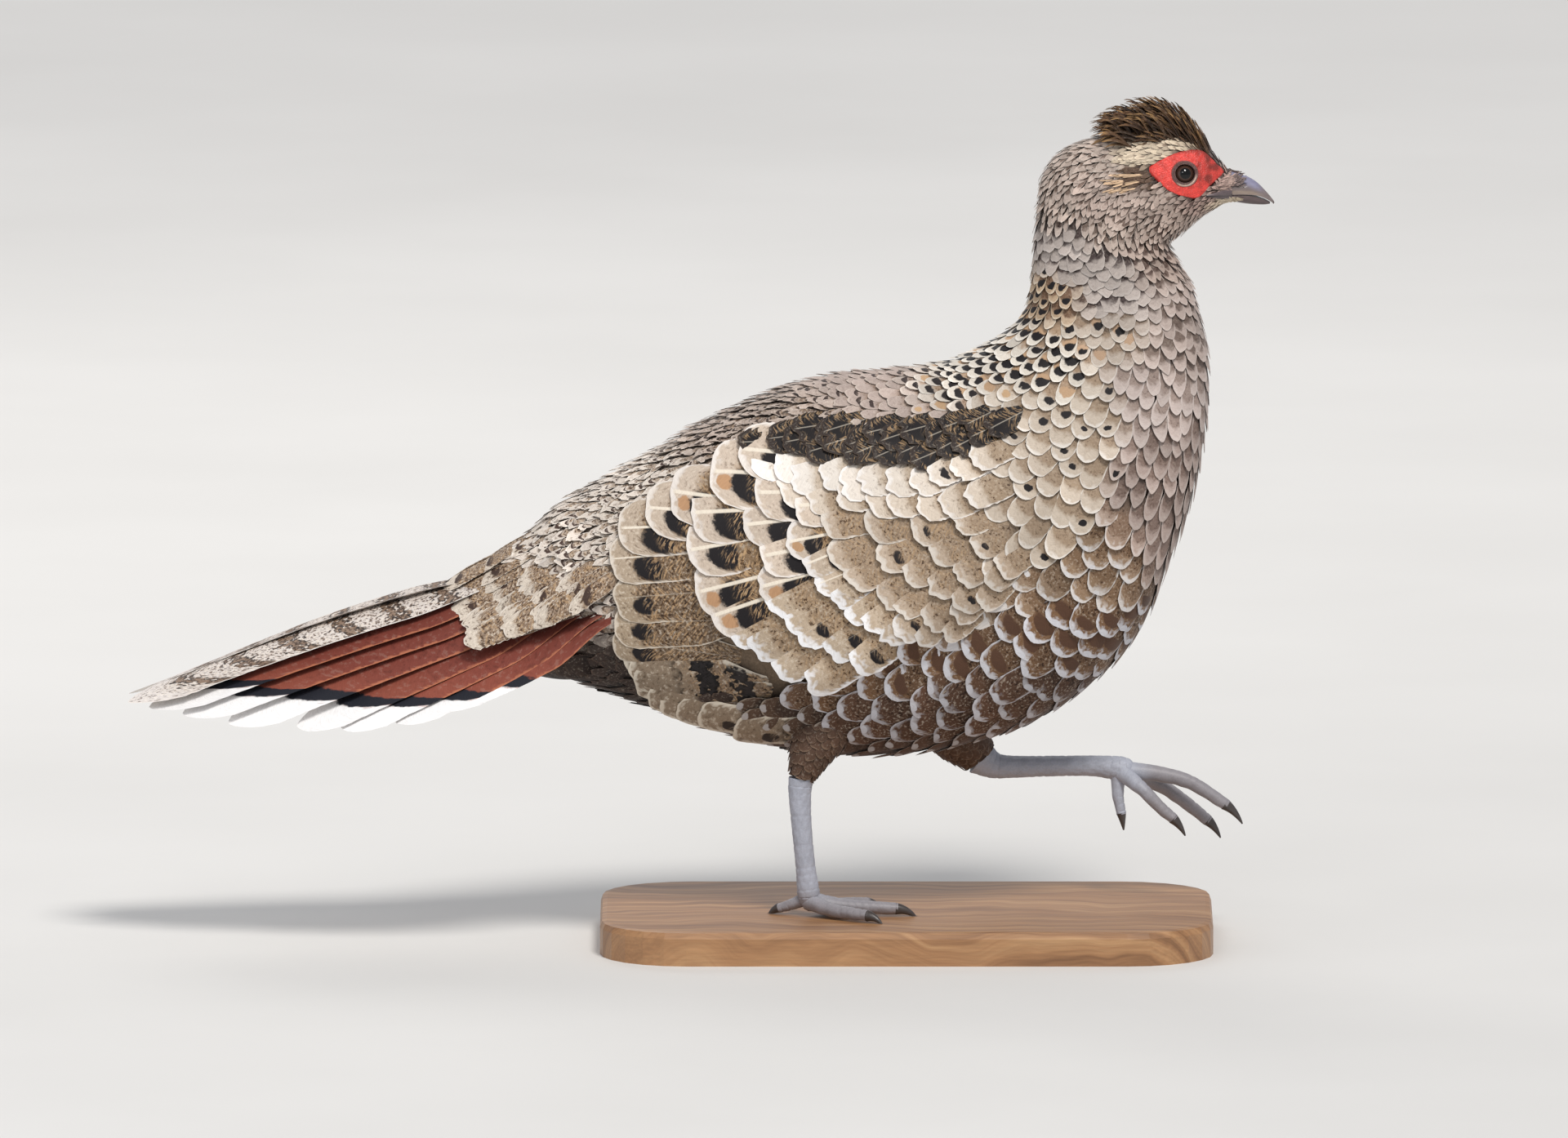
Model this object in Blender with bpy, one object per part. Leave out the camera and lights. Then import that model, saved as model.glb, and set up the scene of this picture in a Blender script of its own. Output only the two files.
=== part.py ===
"""Still, life-size model of an adult hen Hume's pheasant, walking, on a flat display base.

Lengths in the tables are millimetres. +X is the way the bird faces, +Z is up, and the
right side of the bird is at -Y. The origin is the centre of the base's underside.
"""

import math
import random

import bpy
import numpy as np
from mathutils import Vector

MM = 0.001
GAP = 0.3
SEED = 7

BASE_LENGTH = 270.0
BASE_WIDTH = 156.0
BASE_THICK = 15.0
BASE_CORNER = 38.0
BASE_CORNER_STEPS = 6
# Steps of the base's softened top edge: how far in and how far below the top.
BASE_EDGE = ((0.0, 3.0), (0.9, 0.4), (3.0, 0.0))

# Stations of the body from the rump to the bill: the point on the back line (x, z), the
# point on the belly line (x, z) and half the width.
STATIONS = (
    (-151.2, 196.0, -150.0, 118.0, 31.0),
    (-115.2, 216.6, -117.0, 106.0, 41.0),
    (-79.2, 236.6, -77.4, 92.5, 49.0),
    (-45.0, 249.7, -32.4, 84.0, 52.5),
    (-12.6, 254.0, 14.4, 86.0, 53.5),
    (14.4, 257.0, 60.0, 101.0, 52.5),
    (33.5, 264.6, 97.0, 131.5, 48.5),
    (45.7, 272.5, 119.0, 176.0, 42.5),
    (52.6, 282.0, 131.0, 219.5, 36.0),
    (55.4, 296.0, 132.5, 259.5, 30.5),
    (56.4, 310.6, 125.5, 289.5, 26.5),
    (57.9, 325.5, 115.4, 308.9, 23.5),
    (60.8, 340.5, 120.8, 316.0, 21.5),
    (70.5, 352.2, 129.4, 322.8, 19.3),
    (88.0, 358.4, 135.5, 326.0, 17.6),
    (112.4, 362.5, 139.6, 328.2, 14.6),
    (129.0, 356.3, 141.6, 328.9, 10.6),
    (142.2, 342.5, 142.9, 329.3, 5.6),
)
RUMP = 0.0
NECK_ROOT = 7.6
HEAD_ROOT = 11.5
BILL_ROOT = 17.0
PEAR = 0.10
FULLNESS = 0.86
RING_SIDES = 24
TORSO_RINGS = 17
NECK_RINGS = 9
HEAD_RINGS = 14
TAIL_RINGS = 6
TAIL_SIDES = 20
VANE_SOLVER = "MANIFOLD"

TAIL_CORE = (
    (-151.2, 196.0, -150.0, 118.0, 31.0),
    (-166.0, 184.0, -166.0, 128.0, 22.0),
    (-182.0, 172.5, -181.0, 137.0, 15.0),
    (-200.0, 163.0, -199.0, 143.0, 8.5),
)

# The tail's feathers on one side, from the central one outward: the shafts' tips and the first
# and the last root, widths and slopes across.
RECTRIX_TIPS = (
    (-343.0, -11.5, 106.2),
    (-333.4, -15.0, 104.5),
    (-319.0, -21.0, 102.0),
    (-298.8, -27.0, 99.0),
    (-268.6, -33.0, 97.0),
    (-248.8, -38.0, 97.5),
    (-225.0, -42.0, 100.6),
    (-208.0, -43.0, 107.0),
)
RECTRIX_ROOTS = ((-158.0, -4.5, 166.5), (-157.0, -20.0, 144.0))
RECTRIX_WIDTH = (30.0, 19.0)
RECTRIX_SLOPE = (math.radians(30), math.radians(52))
RECTRIX_ARCH = 1.0
RECTRIX_THICK = 0.8
RECTRIX_SHINGLE = 0.12
RECTRIX_CAMBER = 0.4
RECTRIX_STEPS = (0.0, 0.3, 0.65, 0.9, 1.0)
RECTRIX_TAPER = (0.45, 0.9, 1.0, 0.88, 0.34)

# Coverts over and under the tail's root: how many on a side, root and tip of the first, root and
# tip of the last, width, and the slopes of the first and the last across in degrees.
TAIL_COVERTS = (
    (
        "upper", 4, (-156.0, -3.0, 185.0), (-207.0, -6.0, 161.0),
        (-157.0, -25.0, 149.0), (-190.0, -36.0, 136.0), 19.0, (25, 66),
    ),
    (
        "under", 2, (-157.0, -5.0, 131.0), (-182.0, -5.0, 127.0),
        (-157.0, -17.0, 135.0), (-172.0, -19.0, 130.0), 15.0, (168, 130),
    ),
)
COVERT_STEPS = (0.0, 0.4, 0.8, 1.0)
COVERT_TAPER = (0.7, 1.0, 0.9, 0.35)
COVERT_THICK = 0.9
COVERT_SHINGLE = 0.1
COVERT_CAMBER = 0.6
COVERT_STAGGER = 2.0

# Rows of the folded wing, rear to front: tips along a curve (x, z), the number of vanes, their
# length and width, the first and last way they point below the horizontal in degrees and the
# lift at the tip.
WING_ROWS = (
    ("primaries", ((-126.0, 170.0), (-128.0, 150.0), (-122.0, 132.0)), 3, 64.0, 17.0, (12, 26), 1.2),
    (
        "secondaries", ((-119.0, 150.0), (-112.0, 119.0), (-76.0, 106.0), (-38.0, 107.0)),
        7, 60.0, 17.0, (16, 42), 2.6,
    ),
    ("tertials", ((-108.0, 199.0), (-117.5, 176.0), (-119.0, 151.0)), 3, 56.0, 22.0, (4, 15), 3.9),
    (
        "greater_coverts",
        ((-88.0, 213.0), (-94.0, 190.0), (-92.0, 161.0), (-72.0, 138.0), (-37.0, 120.0)),
        7, 48.0, 20.0, (2, 46), 5.4,
    ),
    (
        "median_coverts", ((-64.0, 212.0), (-69.0, 187.0), (-57.0, 162.0), (-16.0, 132.0)),
        6, 44.0, 21.0, (2, 48), 7.1,
    ),
    ("lesser_coverts", ((-34.0, 196.0), (-26.0, 168.0), (6.0, 142.0)), 4, 38.0, 23.0, (4, 44), 8.8),
    ("rear_scapulars", ((-86.0, 218.0), (-64.0, 229.0), (-38.0, 238.0)), 3, 44.0, 21.0, (14, 4), 7.4),
    ("front_scapulars", ((-54.0, 211.0), (-25.0, 221.0), (0.0, 232.0)), 3, 40.0, 22.0, (12, 6), 9.2),
)
WING_STEPS = (0.0, 0.4, 0.8, 1.0)
WING_TAPER = (0.6, 1.0, 0.92, 0.42)
WING_VANE_THICK = 0.7
WING_SHINGLE = 0.08
WING_CAMBER = 0.35
WING_REAR = -130.0
WING_CORE_RISE = 0.068
WING_CORE_SINK = 2.5
WING_CORE_ROWS = (12, 7)
# The core's upper and lower edge as seen from the side, front to rear.
WING_CORE_TOP = (
    (64.0, 208.0), (46.0, 230.0), (5.0, 239.0), (-40.0, 231.0), (-78.0, 211.0), (-100.0, 190.0),
    (-108.0, 172.0),
)
WING_CORE_LOW = (
    (62.0, 204.0), (40.0, 168.0), (8.0, 141.0), (-30.0, 119.0), (-66.0, 117.0), (-94.0, 130.0),
    (-107.0, 165.0),
)
WING_STAGGER = (1.2, 0.6)
WING_SWING = 1.5
VANE_SINK = 2.2

# Locks of the crest: first, middle and last root along the crown (station, tip's x and z).
CREST_PLACES = ((15.9, 104.0, 375.0), (15.3, 92.0, 373.0), (12.7, 63.5, 349.0))
CREST_ROWS = 6
CREST_ANGLES = (0.0, -0.55, 0.55)
CREST_WIDTH = 6.0
CREST_TAPER = (0.9, 1.0, 0.16)
CREST_THICK = 0.9
CREST_CAMBER = 0.4
CREST_SINK = 1.4
CREST_BOW = 1.6
CREST_SIDE_DROP = 7.0
CREST_STAGGER = 2.0

EYE_CENTRE = (122.2, 343.3)
EYE_RADIUS = 5.2
EYE_PROUD = 1.9
LID_RADIUS = 5.4
LID_THICK = 1.15
LID_HEIGHT = 0.92
LID_STAND = 0.55
LID_TURNS = 16
LID_SIDES = 5

# The bill's ridge and cutting edge and the lower half's two edges, (x, z) from root to tip.
BILL_TOP = (
    (142.2, 342.6), (147.0, 341.0), (150.5, 339.8), (154.4, 337.3), (158.6, 333.0), (161.2, 329.8),
    (161.9, 328.6),
)
BILL_CUT = (
    (142.6, 332.5), (147.0, 332.5), (150.5, 332.4), (154.4, 331.9), (157.8, 330.6), (160.6, 328.9),
    (161.5, 327.9),
)
BILL_HALF_WIDTH = (5.2, 4.5, 4.0, 3.3, 2.3, 1.3, 0.7)
JAW_TOP = ((142.6, 332.1), (147.0, 332.1), (152.0, 331.7), (157.0, 330.2), (160.0, 328.8))
JAW_LOW = ((142.9, 329.3), (147.0, 328.4), (152.0, 327.8), (157.0, 327.6), (159.8, 327.9))
JAW_HALF_WIDTH = (5.0, 4.2, 3.2, 1.9, 0.6)
BILL_ARC_STEPS = 9
NOSTRIL = (147.2, 3.9, 336.6)
NOSTRIL_SIZE = (2.6, 1.2, 0.8)
MOUTH_LINE = ((131.6, 333.0), (143.4, 332.3))
MOUTH_HEIGHTS = (0.15, 0.35)
MOUTH_OUT = 1.2
MOUTH_IN = 1.0
MOUTH_INNER_HEIGHT = 0.08
MOUTH_FRONT_LIMIT = 141.8

# Legs: a path (x, y, z) with a radius at each point.
THIGH_RIGHT = (
    (-27.0, -19.0, 116.0, 14.0), (-35.0, -23.5, 101.0, 13.5), (-42.5, -27.2, 87.0, 9.4),
    (-46.4, -28.0, 76.5, 5.6),
)
SHANK_RIGHT = (
    (-47.0, -28.0, 70.0, 5.0), (-46.3, -28.0, 56.0, 4.4), (-44.6, -28.0, 38.0, 4.3),
    (-43.3, -28.0, 26.0, 4.9),
)
THIGH_LEFT = (
    (4.0, 20.0, 116.0, 17.0), (14.0, 24.0, 101.0, 17.0), (25.0, 28.0, 86.0, 12.5),
    (32.0, 29.6, 77.5, 8.0),
)
SHANK_LEFT = (
    (38.5, 30.0, 73.8, 5.9), (46.0, 30.0, 73.0, 4.9), (64.0, 30.0, 73.3, 4.5),
    (82.0, 30.0, 73.4, 4.5), (93.0, 30.0, 72.4, 5.3),
)
TOES_RIGHT = {
    "middle": (
        (-41.0, -28.0, 20.5, 4.4), (-29.0, -28.5, 19.5, 3.4), (-17.0, -29.0, 18.9, 3.0),
        (-5.0, -29.2, 18.4, 2.6),
    ),
    "inner": (
        (-41.5, -26.5, 20.5, 4.0), (-33.0, -20.0, 19.0, 3.0), (-24.0, -14.0, 18.5, 2.7),
        (-17.5, -10.0, 18.1, 2.4),
    ),
    "outer": (
        (-41.5, -29.5, 20.5, 4.0), (-33.5, -37.0, 19.0, 3.0), (-25.0, -43.5, 18.5, 2.7),
        (-17.5, -48.0, 18.1, 2.4),
    ),
    "hind": ((-44.0, -27.0, 23.0, 3.4), (-50.0, -25.0, 20.0, 2.5), (-56.0, -23.0, 17.9, 2.1)),
}
TOES_LEFT = {
    "middle": (
        (98.0, 30.0, 70.0, 4.5), (112.0, 30.0, 69.6, 3.5), (126.0, 30.0, 65.7, 3.1),
        (140.5, 30.0, 56.5, 2.6),
    ),
    "inner": (
        (97.0, 26.0, 69.0, 4.0), (104.5, 21.0, 64.0, 3.0), (111.5, 20.0, 56.8, 2.7),
        (117.6, 20.0, 51.5, 2.4),
    ),
    "outer": (
        (99.5, 34.0, 69.0, 4.2), (112.0, 39.0, 63.5, 3.2), (124.0, 41.5, 55.0, 2.9),
        (133.0, 42.0, 47.6, 2.5),
    ),
    "hind": ((93.0, 28.5, 68.0, 3.4), (93.6, 28.0, 60.0, 2.5), (95.0, 27.8, 53.0, 2.1)),
}
CLAW_LENGTH = {"middle": 11.0, "inner": 8.5, "outer": 9.0, "hind": 6.5}
CLAW_DROP = 0.35
CLAW_BEND = 0.15
CLAW_ROOT = 0.92
CLAW_TIP = 0.32
CLAW_ROWS = 4
TOE_SIDES = 7
TOE_ROWS = 5
HOCK_STEP = 0.92
# The ball of the foot: (how far along it, its radius in shares of the shank's end).
BALL = ((0.0, 1.0), (0.6, 1.04), (1.0, 0.8))
BALL_LENGTH = 5.0
SHANK_SIDES = 10
SHANK_ROWS = 9
THIGH_SIDES = 12
THIGH_ROWS = 6
ANKLE_CUT = (14.0, 2.2)

FEATHER_BROWN = (0.36, 0.25, 0.16, 1.0)
NECK_BUFF = (0.47, 0.38, 0.30, 1.0)
HEAD_BROWN = (0.33, 0.22, 0.14, 1.0)
WING_BUFF = (0.42, 0.30, 0.19, 1.0)
TAIL_RUFOUS = (0.38, 0.11, 0.06, 1.0)
HORN_GREY = (0.22, 0.23, 0.26, 1.0)
LEG_BLUE_GREY = (0.27, 0.29, 0.34, 1.0)
CLAW_DARK = (0.12, 0.11, 0.11, 1.0)
EYE_DARK = (0.04, 0.02, 0.015, 1.0)
BASE_WOOD = (0.40, 0.25, 0.13, 1.0)


def clear_scene():
    for obj in list(bpy.data.objects):
        bpy.data.objects.remove(obj, do_unlink=True)


def material(name, colour, roughness):
    made = bpy.data.materials.new(name)
    made.use_nodes = True
    shader = made.node_tree.nodes["Principled BSDF"]
    shader.inputs["Base Color"].default_value = colour
    shader.inputs["Roughness"].default_value = roughness
    shader.inputs["Metallic"].default_value = 0.0
    return made


def mesh_object(name, points, faces):
    """An object from points in millimetres."""
    mesh = bpy.data.meshes.new(name)
    mesh.from_pydata((np.asarray(points) * MM).tolist(), [], faces)
    mesh.update()
    made = bpy.data.objects.new(name, mesh)
    bpy.context.scene.collection.objects.link(made)
    return made


def catmull(rows, s):
    """A smooth curve through rows, read at the parameter s counted in rows."""
    rows = np.asarray(rows, float)
    last = len(rows) - 1
    i = int(min(max(math.floor(s), 0), last - 1))
    t = s - i
    b, c = rows[i], rows[i + 1]
    a = rows[i - 1] if i > 0 else 2 * b - c
    d = rows[i + 2] if i + 2 <= last else 2 * c - b
    square, cube = 2 * a - 5 * b + 4 * c - d, 3 * b - 3 * c + d - a
    return 0.5 * (2 * b + (c - a) * t + square * t**2 + cube * t**3)


def half_width(half, angle):
    """How far out the body's surface is at an angle from the back line, widest a little low."""
    rise = np.sin(angle)
    return half * np.sign(rise) * np.abs(rise) ** FULLNESS * (1 - PEAR * np.cos(angle))


def ring_of(station, sides):
    """One cross-section between the back and belly points."""
    top_x, top_z, low_x, low_z, half = station
    angle = np.linspace(0, 2 * math.pi, sides, endpoint=False)
    c = np.cos(angle)
    return np.stack(
        [
            (top_x + low_x) / 2 + c * (top_x - low_x) / 2,
            -half_width(half, angle),
            (top_z + low_z) / 2 + c * (top_z - low_z) / 2,
        ],
        axis=1,
    )


def ring_normal(ring):
    """The direction that a flat ring of the body faces, towards the head."""
    a = ring[0] - ring.mean(axis=0)
    b = np.array([0.0, -1.0, 0.0])
    n = np.cross(a, b)
    return n / np.linalg.norm(n)


def loft(rings):
    """Points and faces of a closed skin over rings of equal count, with flat fans at both ends."""
    sides = len(rings[0])
    points = np.concatenate(list(rings) + [[rings[0].mean(axis=0)], [rings[-1].mean(axis=0)]])
    first, last = len(points) - 2, len(points) - 1
    top = (len(rings) - 1) * sides
    faces = []
    for i in range(len(rings) - 1):
        for j in range(sides):
            a, b = i * sides + j, i * sides + (j + 1) % sides
            faces += [(a, b, b + sides), (a, b + sides, a + sides)]
    for j in range(sides):
        k = (j + 1) % sides
        faces += [(first, k, j), (last, top + j, top + k)]
    return points, faces


def outward(points, faces):
    """The faces turned so that the mesh encloses a positive volume."""
    corners = np.asarray(points)[np.asarray(faces)]
    volume = np.einsum("ij,ij->i", corners[:, 0], np.cross(corners[:, 1], corners[:, 2])).sum()
    return faces if volume > 0 else [tuple(reversed(face)) for face in faces]


def closed_object(name, points, faces):
    return mesh_object(name, points, outward(points, faces))


def tube(path, sides, start_way=None, end_way=None):
    """Points and faces of a round limb along (x, y, z, radius) rows, ends square to given ways."""
    path = np.asarray(path, float)
    centre, radius = path[:, :3], path[:, 3]
    along = np.gradient(centre, axis=0)
    if start_way is not None:
        along[0] = start_way
    if end_way is not None:
        along[-1] = end_way
    along /= np.linalg.norm(along, axis=1)[:, None]
    side = np.array([0.0, 1.0, 0.0])
    rings = []
    for point, way, size in zip(centre, along, radius):
        a = side - way * side.dot(way)
        a /= np.linalg.norm(a)
        b = np.cross(way, a)
        angle = np.linspace(0, 2 * math.pi, sides, endpoint=False)
        rings.append(point + size * (np.outer(np.cos(angle), a) + np.outer(np.sin(angle), b)))
    return loft(rings)


def smooth_path(path, steps):
    """The path with more rows, on a smooth curve through the given ones."""
    return [catmull(path, s) for s in np.linspace(0, len(path) - 1, steps)]


def boolean(target, operation, others, solver="EXACT"):
    """Joins or cuts the target with other closed objects, applies it and removes them."""
    group = bpy.data.collections.new("operands")
    for other in others:
        group.objects.link(other)
    change = target.modifiers.new(operation.title(), "BOOLEAN")
    change.operation = operation
    change.operand_type = "COLLECTION"
    change.collection = group
    change.solver = solver
    bpy.context.view_layer.update()
    graph = bpy.context.evaluated_depsgraph_get()
    result = bpy.data.meshes.new_from_object(target.evaluated_get(graph))
    target.modifiers.clear()
    target.data = result
    for other in others:
        bpy.data.objects.remove(other, do_unlink=True)
    bpy.data.collections.remove(group)
    keep_largest(target)


def keep_largest(obj):
    """Keeps the one closed surface of the largest volume."""
    mesh = obj.data
    mesh.calc_loop_triangles()
    points = np.empty(len(mesh.vertices) * 3)
    mesh.vertices.foreach_get("co", points)
    points = points.reshape(-1, 3)
    faces = np.empty(len(mesh.loop_triangles) * 3, np.int32)
    mesh.loop_triangles.foreach_get("vertices", faces)
    faces = faces.reshape(-1, 3)
    label = np.arange(len(points))
    while True:
        low = label[faces].min(axis=1)
        new = label.copy()
        np.minimum.at(new, faces.reshape(-1), np.repeat(low, 3))
        new = new[new]
        if (new == label).all():
            break
        label = new
    corners = points[faces]
    volume = np.einsum("ij,ij->i", corners[:, 0], np.cross(corners[:, 1], corners[:, 2]))
    owner = label[faces[:, 0]]
    best = max(set(owner.tolist()), key=lambda k: abs(volume[owner == k].sum()))
    kept = faces[owner == best]
    used, index = np.unique(kept, return_inverse=True)
    fresh = bpy.data.meshes.new(mesh.name)
    fresh.from_pydata(points[used].tolist(), [], index.reshape(-1, 3).tolist())
    fresh.update()
    obj.data = fresh


def finish(obj, finish_material, smooth_angle=math.radians(50)):
    obj.data.materials.clear()
    obj.data.materials.append(finish_material)
    obj.data.shade_smooth()
    obj.data.set_sharp_from_angle(angle=smooth_angle)


def mirrored(obj, name):
    """A copy on the other side of the bird."""
    points = np.array([vertex.co[:] for vertex in obj.data.vertices]) / MM
    points[:, 1] *= -1
    faces = [tuple(reversed(face.vertices[:])) for face in obj.data.polygons]
    return mesh_object(name, points, faces)


class Skin:
    """The body's outer surface as a function of station and angle, and its inverse from the side."""

    def __init__(self, stations):
        self.fine = np.linspace(0, len(stations) - 1, 40 * (len(stations) - 1) + 1)
        self.table = np.array([catmull(stations, s) for s in self.fine])

    def station(self, s):
        return np.array([np.interp(s, self.fine, column) for column in self.table.T])

    def point(self, s, angle):
        """The point at an angle from the back line, towards the bird's right side."""
        top_x, top_z, low_x, low_z, half = self.station(s)
        c = math.cos(angle)
        return np.array(
            [
                (top_x + low_x) / 2 + c * (top_x - low_x) / 2,
                -half_width(half, angle),
                (top_z + low_z) / 2 + c * (top_z - low_z) / 2,
            ]
        )

    def normal(self, s, angle):
        step = 0.02
        low, high = max(s - step, self.fine[0]), min(s + step, self.fine[-1])
        along = self.point(high, angle) - self.point(low, angle)
        around = self.point(s, angle + step) - self.point(s, angle - step)
        n = np.cross(around, along)
        n /= np.linalg.norm(n)
        centre = self.point(s, 0.0) + self.point(s, math.pi)
        return n if n.dot(self.point(s, angle) - centre / 2) > 0 else -n

    def from_side(self, x, z):
        """Station and angle of the surface point seen at (x, z) from the bird's right."""
        top_x, top_z, low_x, low_z = self.table[:, :4].T
        run_x, run_z = low_x - top_x, low_z - top_z
        across = run_x * (z - top_z) - run_z * (x - top_x)
        along = ((x - top_x) * run_x + (z - top_z) * run_z) / (run_x**2 + run_z**2)
        crossing = np.where((across[:-1] * across[1:] <= 0) & (abs(along[:-1] - 0.5) < 0.75))[0]
        if len(crossing) == 0:
            i = int(np.argmin(abs(across)))
            share = 0.0
            j = i
        else:
            i = int(crossing[np.argmin(abs(along[crossing] - 0.5))])
            j = i + 1
            share = across[i] / (across[i] - across[j]) if across[i] != across[j] else 0.0
        s = self.fine[i] + share * (self.fine[j] - self.fine[i])
        t = along[i] + share * (along[j] - along[i])
        return s, math.acos(min(max(1 - 2 * t, -0.985), 0.985))

    def over(self, x, z, lift):
        """The point over the right side seen at (x, z), lifted off the surface."""
        s, angle = self.from_side(x, z)
        return self.point(s, angle) + lift * self.normal(s, angle)


SKIN = Skin(STATIONS)


def body_rings(start, end, count, grow=0.0):
    """Rings of the body between two stations, grown outward by a distance."""
    rings = []
    for s in np.linspace(start, end, count):
        ring = ring_of(SKIN.station(s), RING_SIDES)
        centre = ring.mean(axis=0)
        way = ring - centre
        rings.append(ring + grow * way / np.linalg.norm(way, axis=1)[:, None])
    return rings


def torso():
    return closed_object("torso", *loft(body_rings(RUMP, NECK_ROOT, TORSO_RINGS)))


def torso_grown():
    """The torso grown by the gap, to cut what lies on it."""
    rings = body_rings(RUMP, NECK_ROOT, TORSO_RINGS, GAP * 1.15)
    first = rings[0] - ring_normal(rings[0]) * GAP
    last = rings[-1] + ring_normal(rings[-1]) * GAP
    return closed_object("torso_grown", *loft([first] + rings + [last]))


def neck():
    rings = body_rings(NECK_ROOT, HEAD_ROOT, NECK_RINGS)
    rings[0] = rings[0] + ring_normal(rings[0]) * GAP
    return closed_object("neck", *loft(rings))


def head_core():
    rings = body_rings(HEAD_ROOT, BILL_ROOT, HEAD_RINGS)
    rings[0] = rings[0] + ring_normal(rings[0]) * GAP
    return closed_object("head", *loft(rings))


def eye_place():
    """Centre of the right eyeball and the way it looks."""
    s, angle = SKIN.from_side(*EYE_CENTRE)
    look = SKIN.normal(s, angle)
    return SKIN.point(s, angle) + look * (EYE_PROUD - EYE_RADIUS), look


def sphere(name, centre, radius, segments=12, rings=8):
    points = [centre + np.array([0, 0, radius])]
    for i in range(1, rings):
        polar = math.pi * i / rings
        for j in range(segments):
            turn = 2 * math.pi * j / segments
            way = (math.sin(polar) * math.cos(turn), math.sin(polar) * math.sin(turn), math.cos(polar))
            points.append(centre + radius * np.array(way))
    points.append(centre - np.array([0, 0, radius]))
    faces = []
    for j in range(segments):
        k = (j + 1) % segments
        faces.append((0, 1 + j, 1 + k))
        low = 1 + (rings - 2) * segments
        faces.append((len(points) - 1, low + k, low + j))
        for i in range(rings - 2):
            a, b = 1 + i * segments + j, 1 + i * segments + k
            faces += [(a, a + segments, b + segments), (a, b + segments, b)]
    return closed_object(name, points, faces)


def frame_about(way):
    """Two directions square to a given one."""
    up = np.array([0.0, 0.0, 1.0])
    a = np.cross(up, way)
    a /= np.linalg.norm(a)
    return a, np.cross(way, a)


def lid_ring(name, centre, look, side):
    """The ring of the two eyelids round an eye."""
    a, b = frame_about(look)
    plane = centre + look * (EYE_RADIUS - EYE_PROUD + LID_STAND)
    points, faces = [], []
    for i in range(LID_TURNS):
        turn = 2 * math.pi * i / LID_TURNS
        out = math.cos(turn) * a + math.sin(turn) * b * LID_HEIGHT
        for j in range(LID_SIDES):
            roll = 2 * math.pi * j / LID_SIDES
            reach = LID_RADIUS + LID_THICK * math.cos(roll)
            points.append(plane + out * reach + look * LID_THICK * math.sin(roll))
            k, m = (i + 1) % LID_TURNS, (j + 1) % LID_SIDES
            p, q = i * LID_SIDES + j, i * LID_SIDES + m
            r, t = k * LID_SIDES + m, k * LID_SIDES + j
            faces += [(p, q, r), (p, r, t)]
    points = np.array(points)
    points[:, 1] *= side
    return closed_object(name, points, faces)


def eyes():
    """Both eyeballs, and the spheres that cut their sockets."""
    centre, _ = eye_place()
    left = centre * (1, -1, 1)
    sphere("eye_right", centre, EYE_RADIUS)
    sphere("eye_left", left, EYE_RADIUS)
    return [sphere("socket", place, EYE_RADIUS + GAP * 1.5) for place in (centre, left)]


def mouth_groove(side):
    """A thin wedge along the line of the mouth behind the bill."""
    (x0, z0), (x1, z1) = MOUTH_LINE
    points = []
    outer, inner = -MOUTH_OUT, MOUTH_IN
    for x, z, high in ((x0, z0, MOUTH_HEIGHTS[0]), (x1, z1, MOUTH_HEIGHTS[1])):
        surface = SKIN.over(min(x, MOUTH_FRONT_LIMIT), z, 0.0)
        low = MOUTH_INNER_HEIGHT
        for shift, up in ((outer, high), (outer, -high), (inner, -low), (inner, low)):
            points.append((x, surface[1] + shift, z + up))
    points = np.array(points)
    points[:, 1] *= side
    quads = [(0, 1, 2, 3), (7, 6, 5, 4), (0, 4, 5, 1), (1, 5, 6, 2), (2, 6, 7, 3), (3, 7, 4, 0)]
    faces = [half for a, b, c, d in quads for half in ((a, b, c), (a, c, d))]
    return closed_object("groove", points, faces)


def head():
    made = head_core()
    centre, look = eye_place()
    boolean(made, "UNION", [lid_ring("lids", centre, look, side) for side in (1, -1)])
    boolean(made, "UNION", crest_locks(), VANE_SOLVER)
    boolean(made, "DIFFERENCE", eyes() + [mouth_groove(side) for side in (1, -1)])
    return made


def bill_rings(top, low, widths, point_up):
    """Half-oval rings: flat where the two halves of the bill meet."""
    rings = []
    angle = np.linspace(0, math.pi, BILL_ARC_STEPS)
    for (xt, zt), (xl, zl), half in zip(top, low, widths):
        (xa, za), (xb, zb) = ((xl, zl), (xt, zt)) if point_up else ((xt, zt), (xl, zl))
        rise = np.sin(angle)
        x, y, z = xa + (xb - xa) * rise, half * np.cos(angle), za + (zb - za) * rise
        rings.append(np.stack([x, y, z], axis=1))
    return rings


def bill():
    """Both halves of the bill, with the nostrils cut into the upper one."""
    shift = np.array([GAP, 0.0, 0.0])
    upper_rings = bill_rings(BILL_TOP, BILL_CUT, BILL_HALF_WIDTH, True)
    lower_rings = bill_rings(JAW_TOP, JAW_LOW, JAW_HALF_WIDTH, False)
    upper = closed_object("bill_upper", *loft([ring + shift for ring in upper_rings]))
    lower = closed_object("bill_lower", *loft([ring + shift for ring in lower_rings]))
    cutters = []
    for side in (1, -1):
        dent = sphere("nostril", np.zeros(3), 1.0, 8, 6)
        points = np.array([v.co[:] for v in dent.data.vertices]) / MM
        points = points * NOSTRIL_SIZE + np.multiply(NOSTRIL, (1, side, 1))
        for vertex, place in zip(dent.data.vertices, points):
            vertex.co = Vector((place * MM).tolist())
        cutters.append(dent)
    boolean(upper, "DIFFERENCE", cutters)
    return upper, lower


def limb(name, path, sides, steps, start_way=None, end_way=None):
    return closed_object(name, *tube(smooth_path(path, steps), sides, start_way, end_way))


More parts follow.
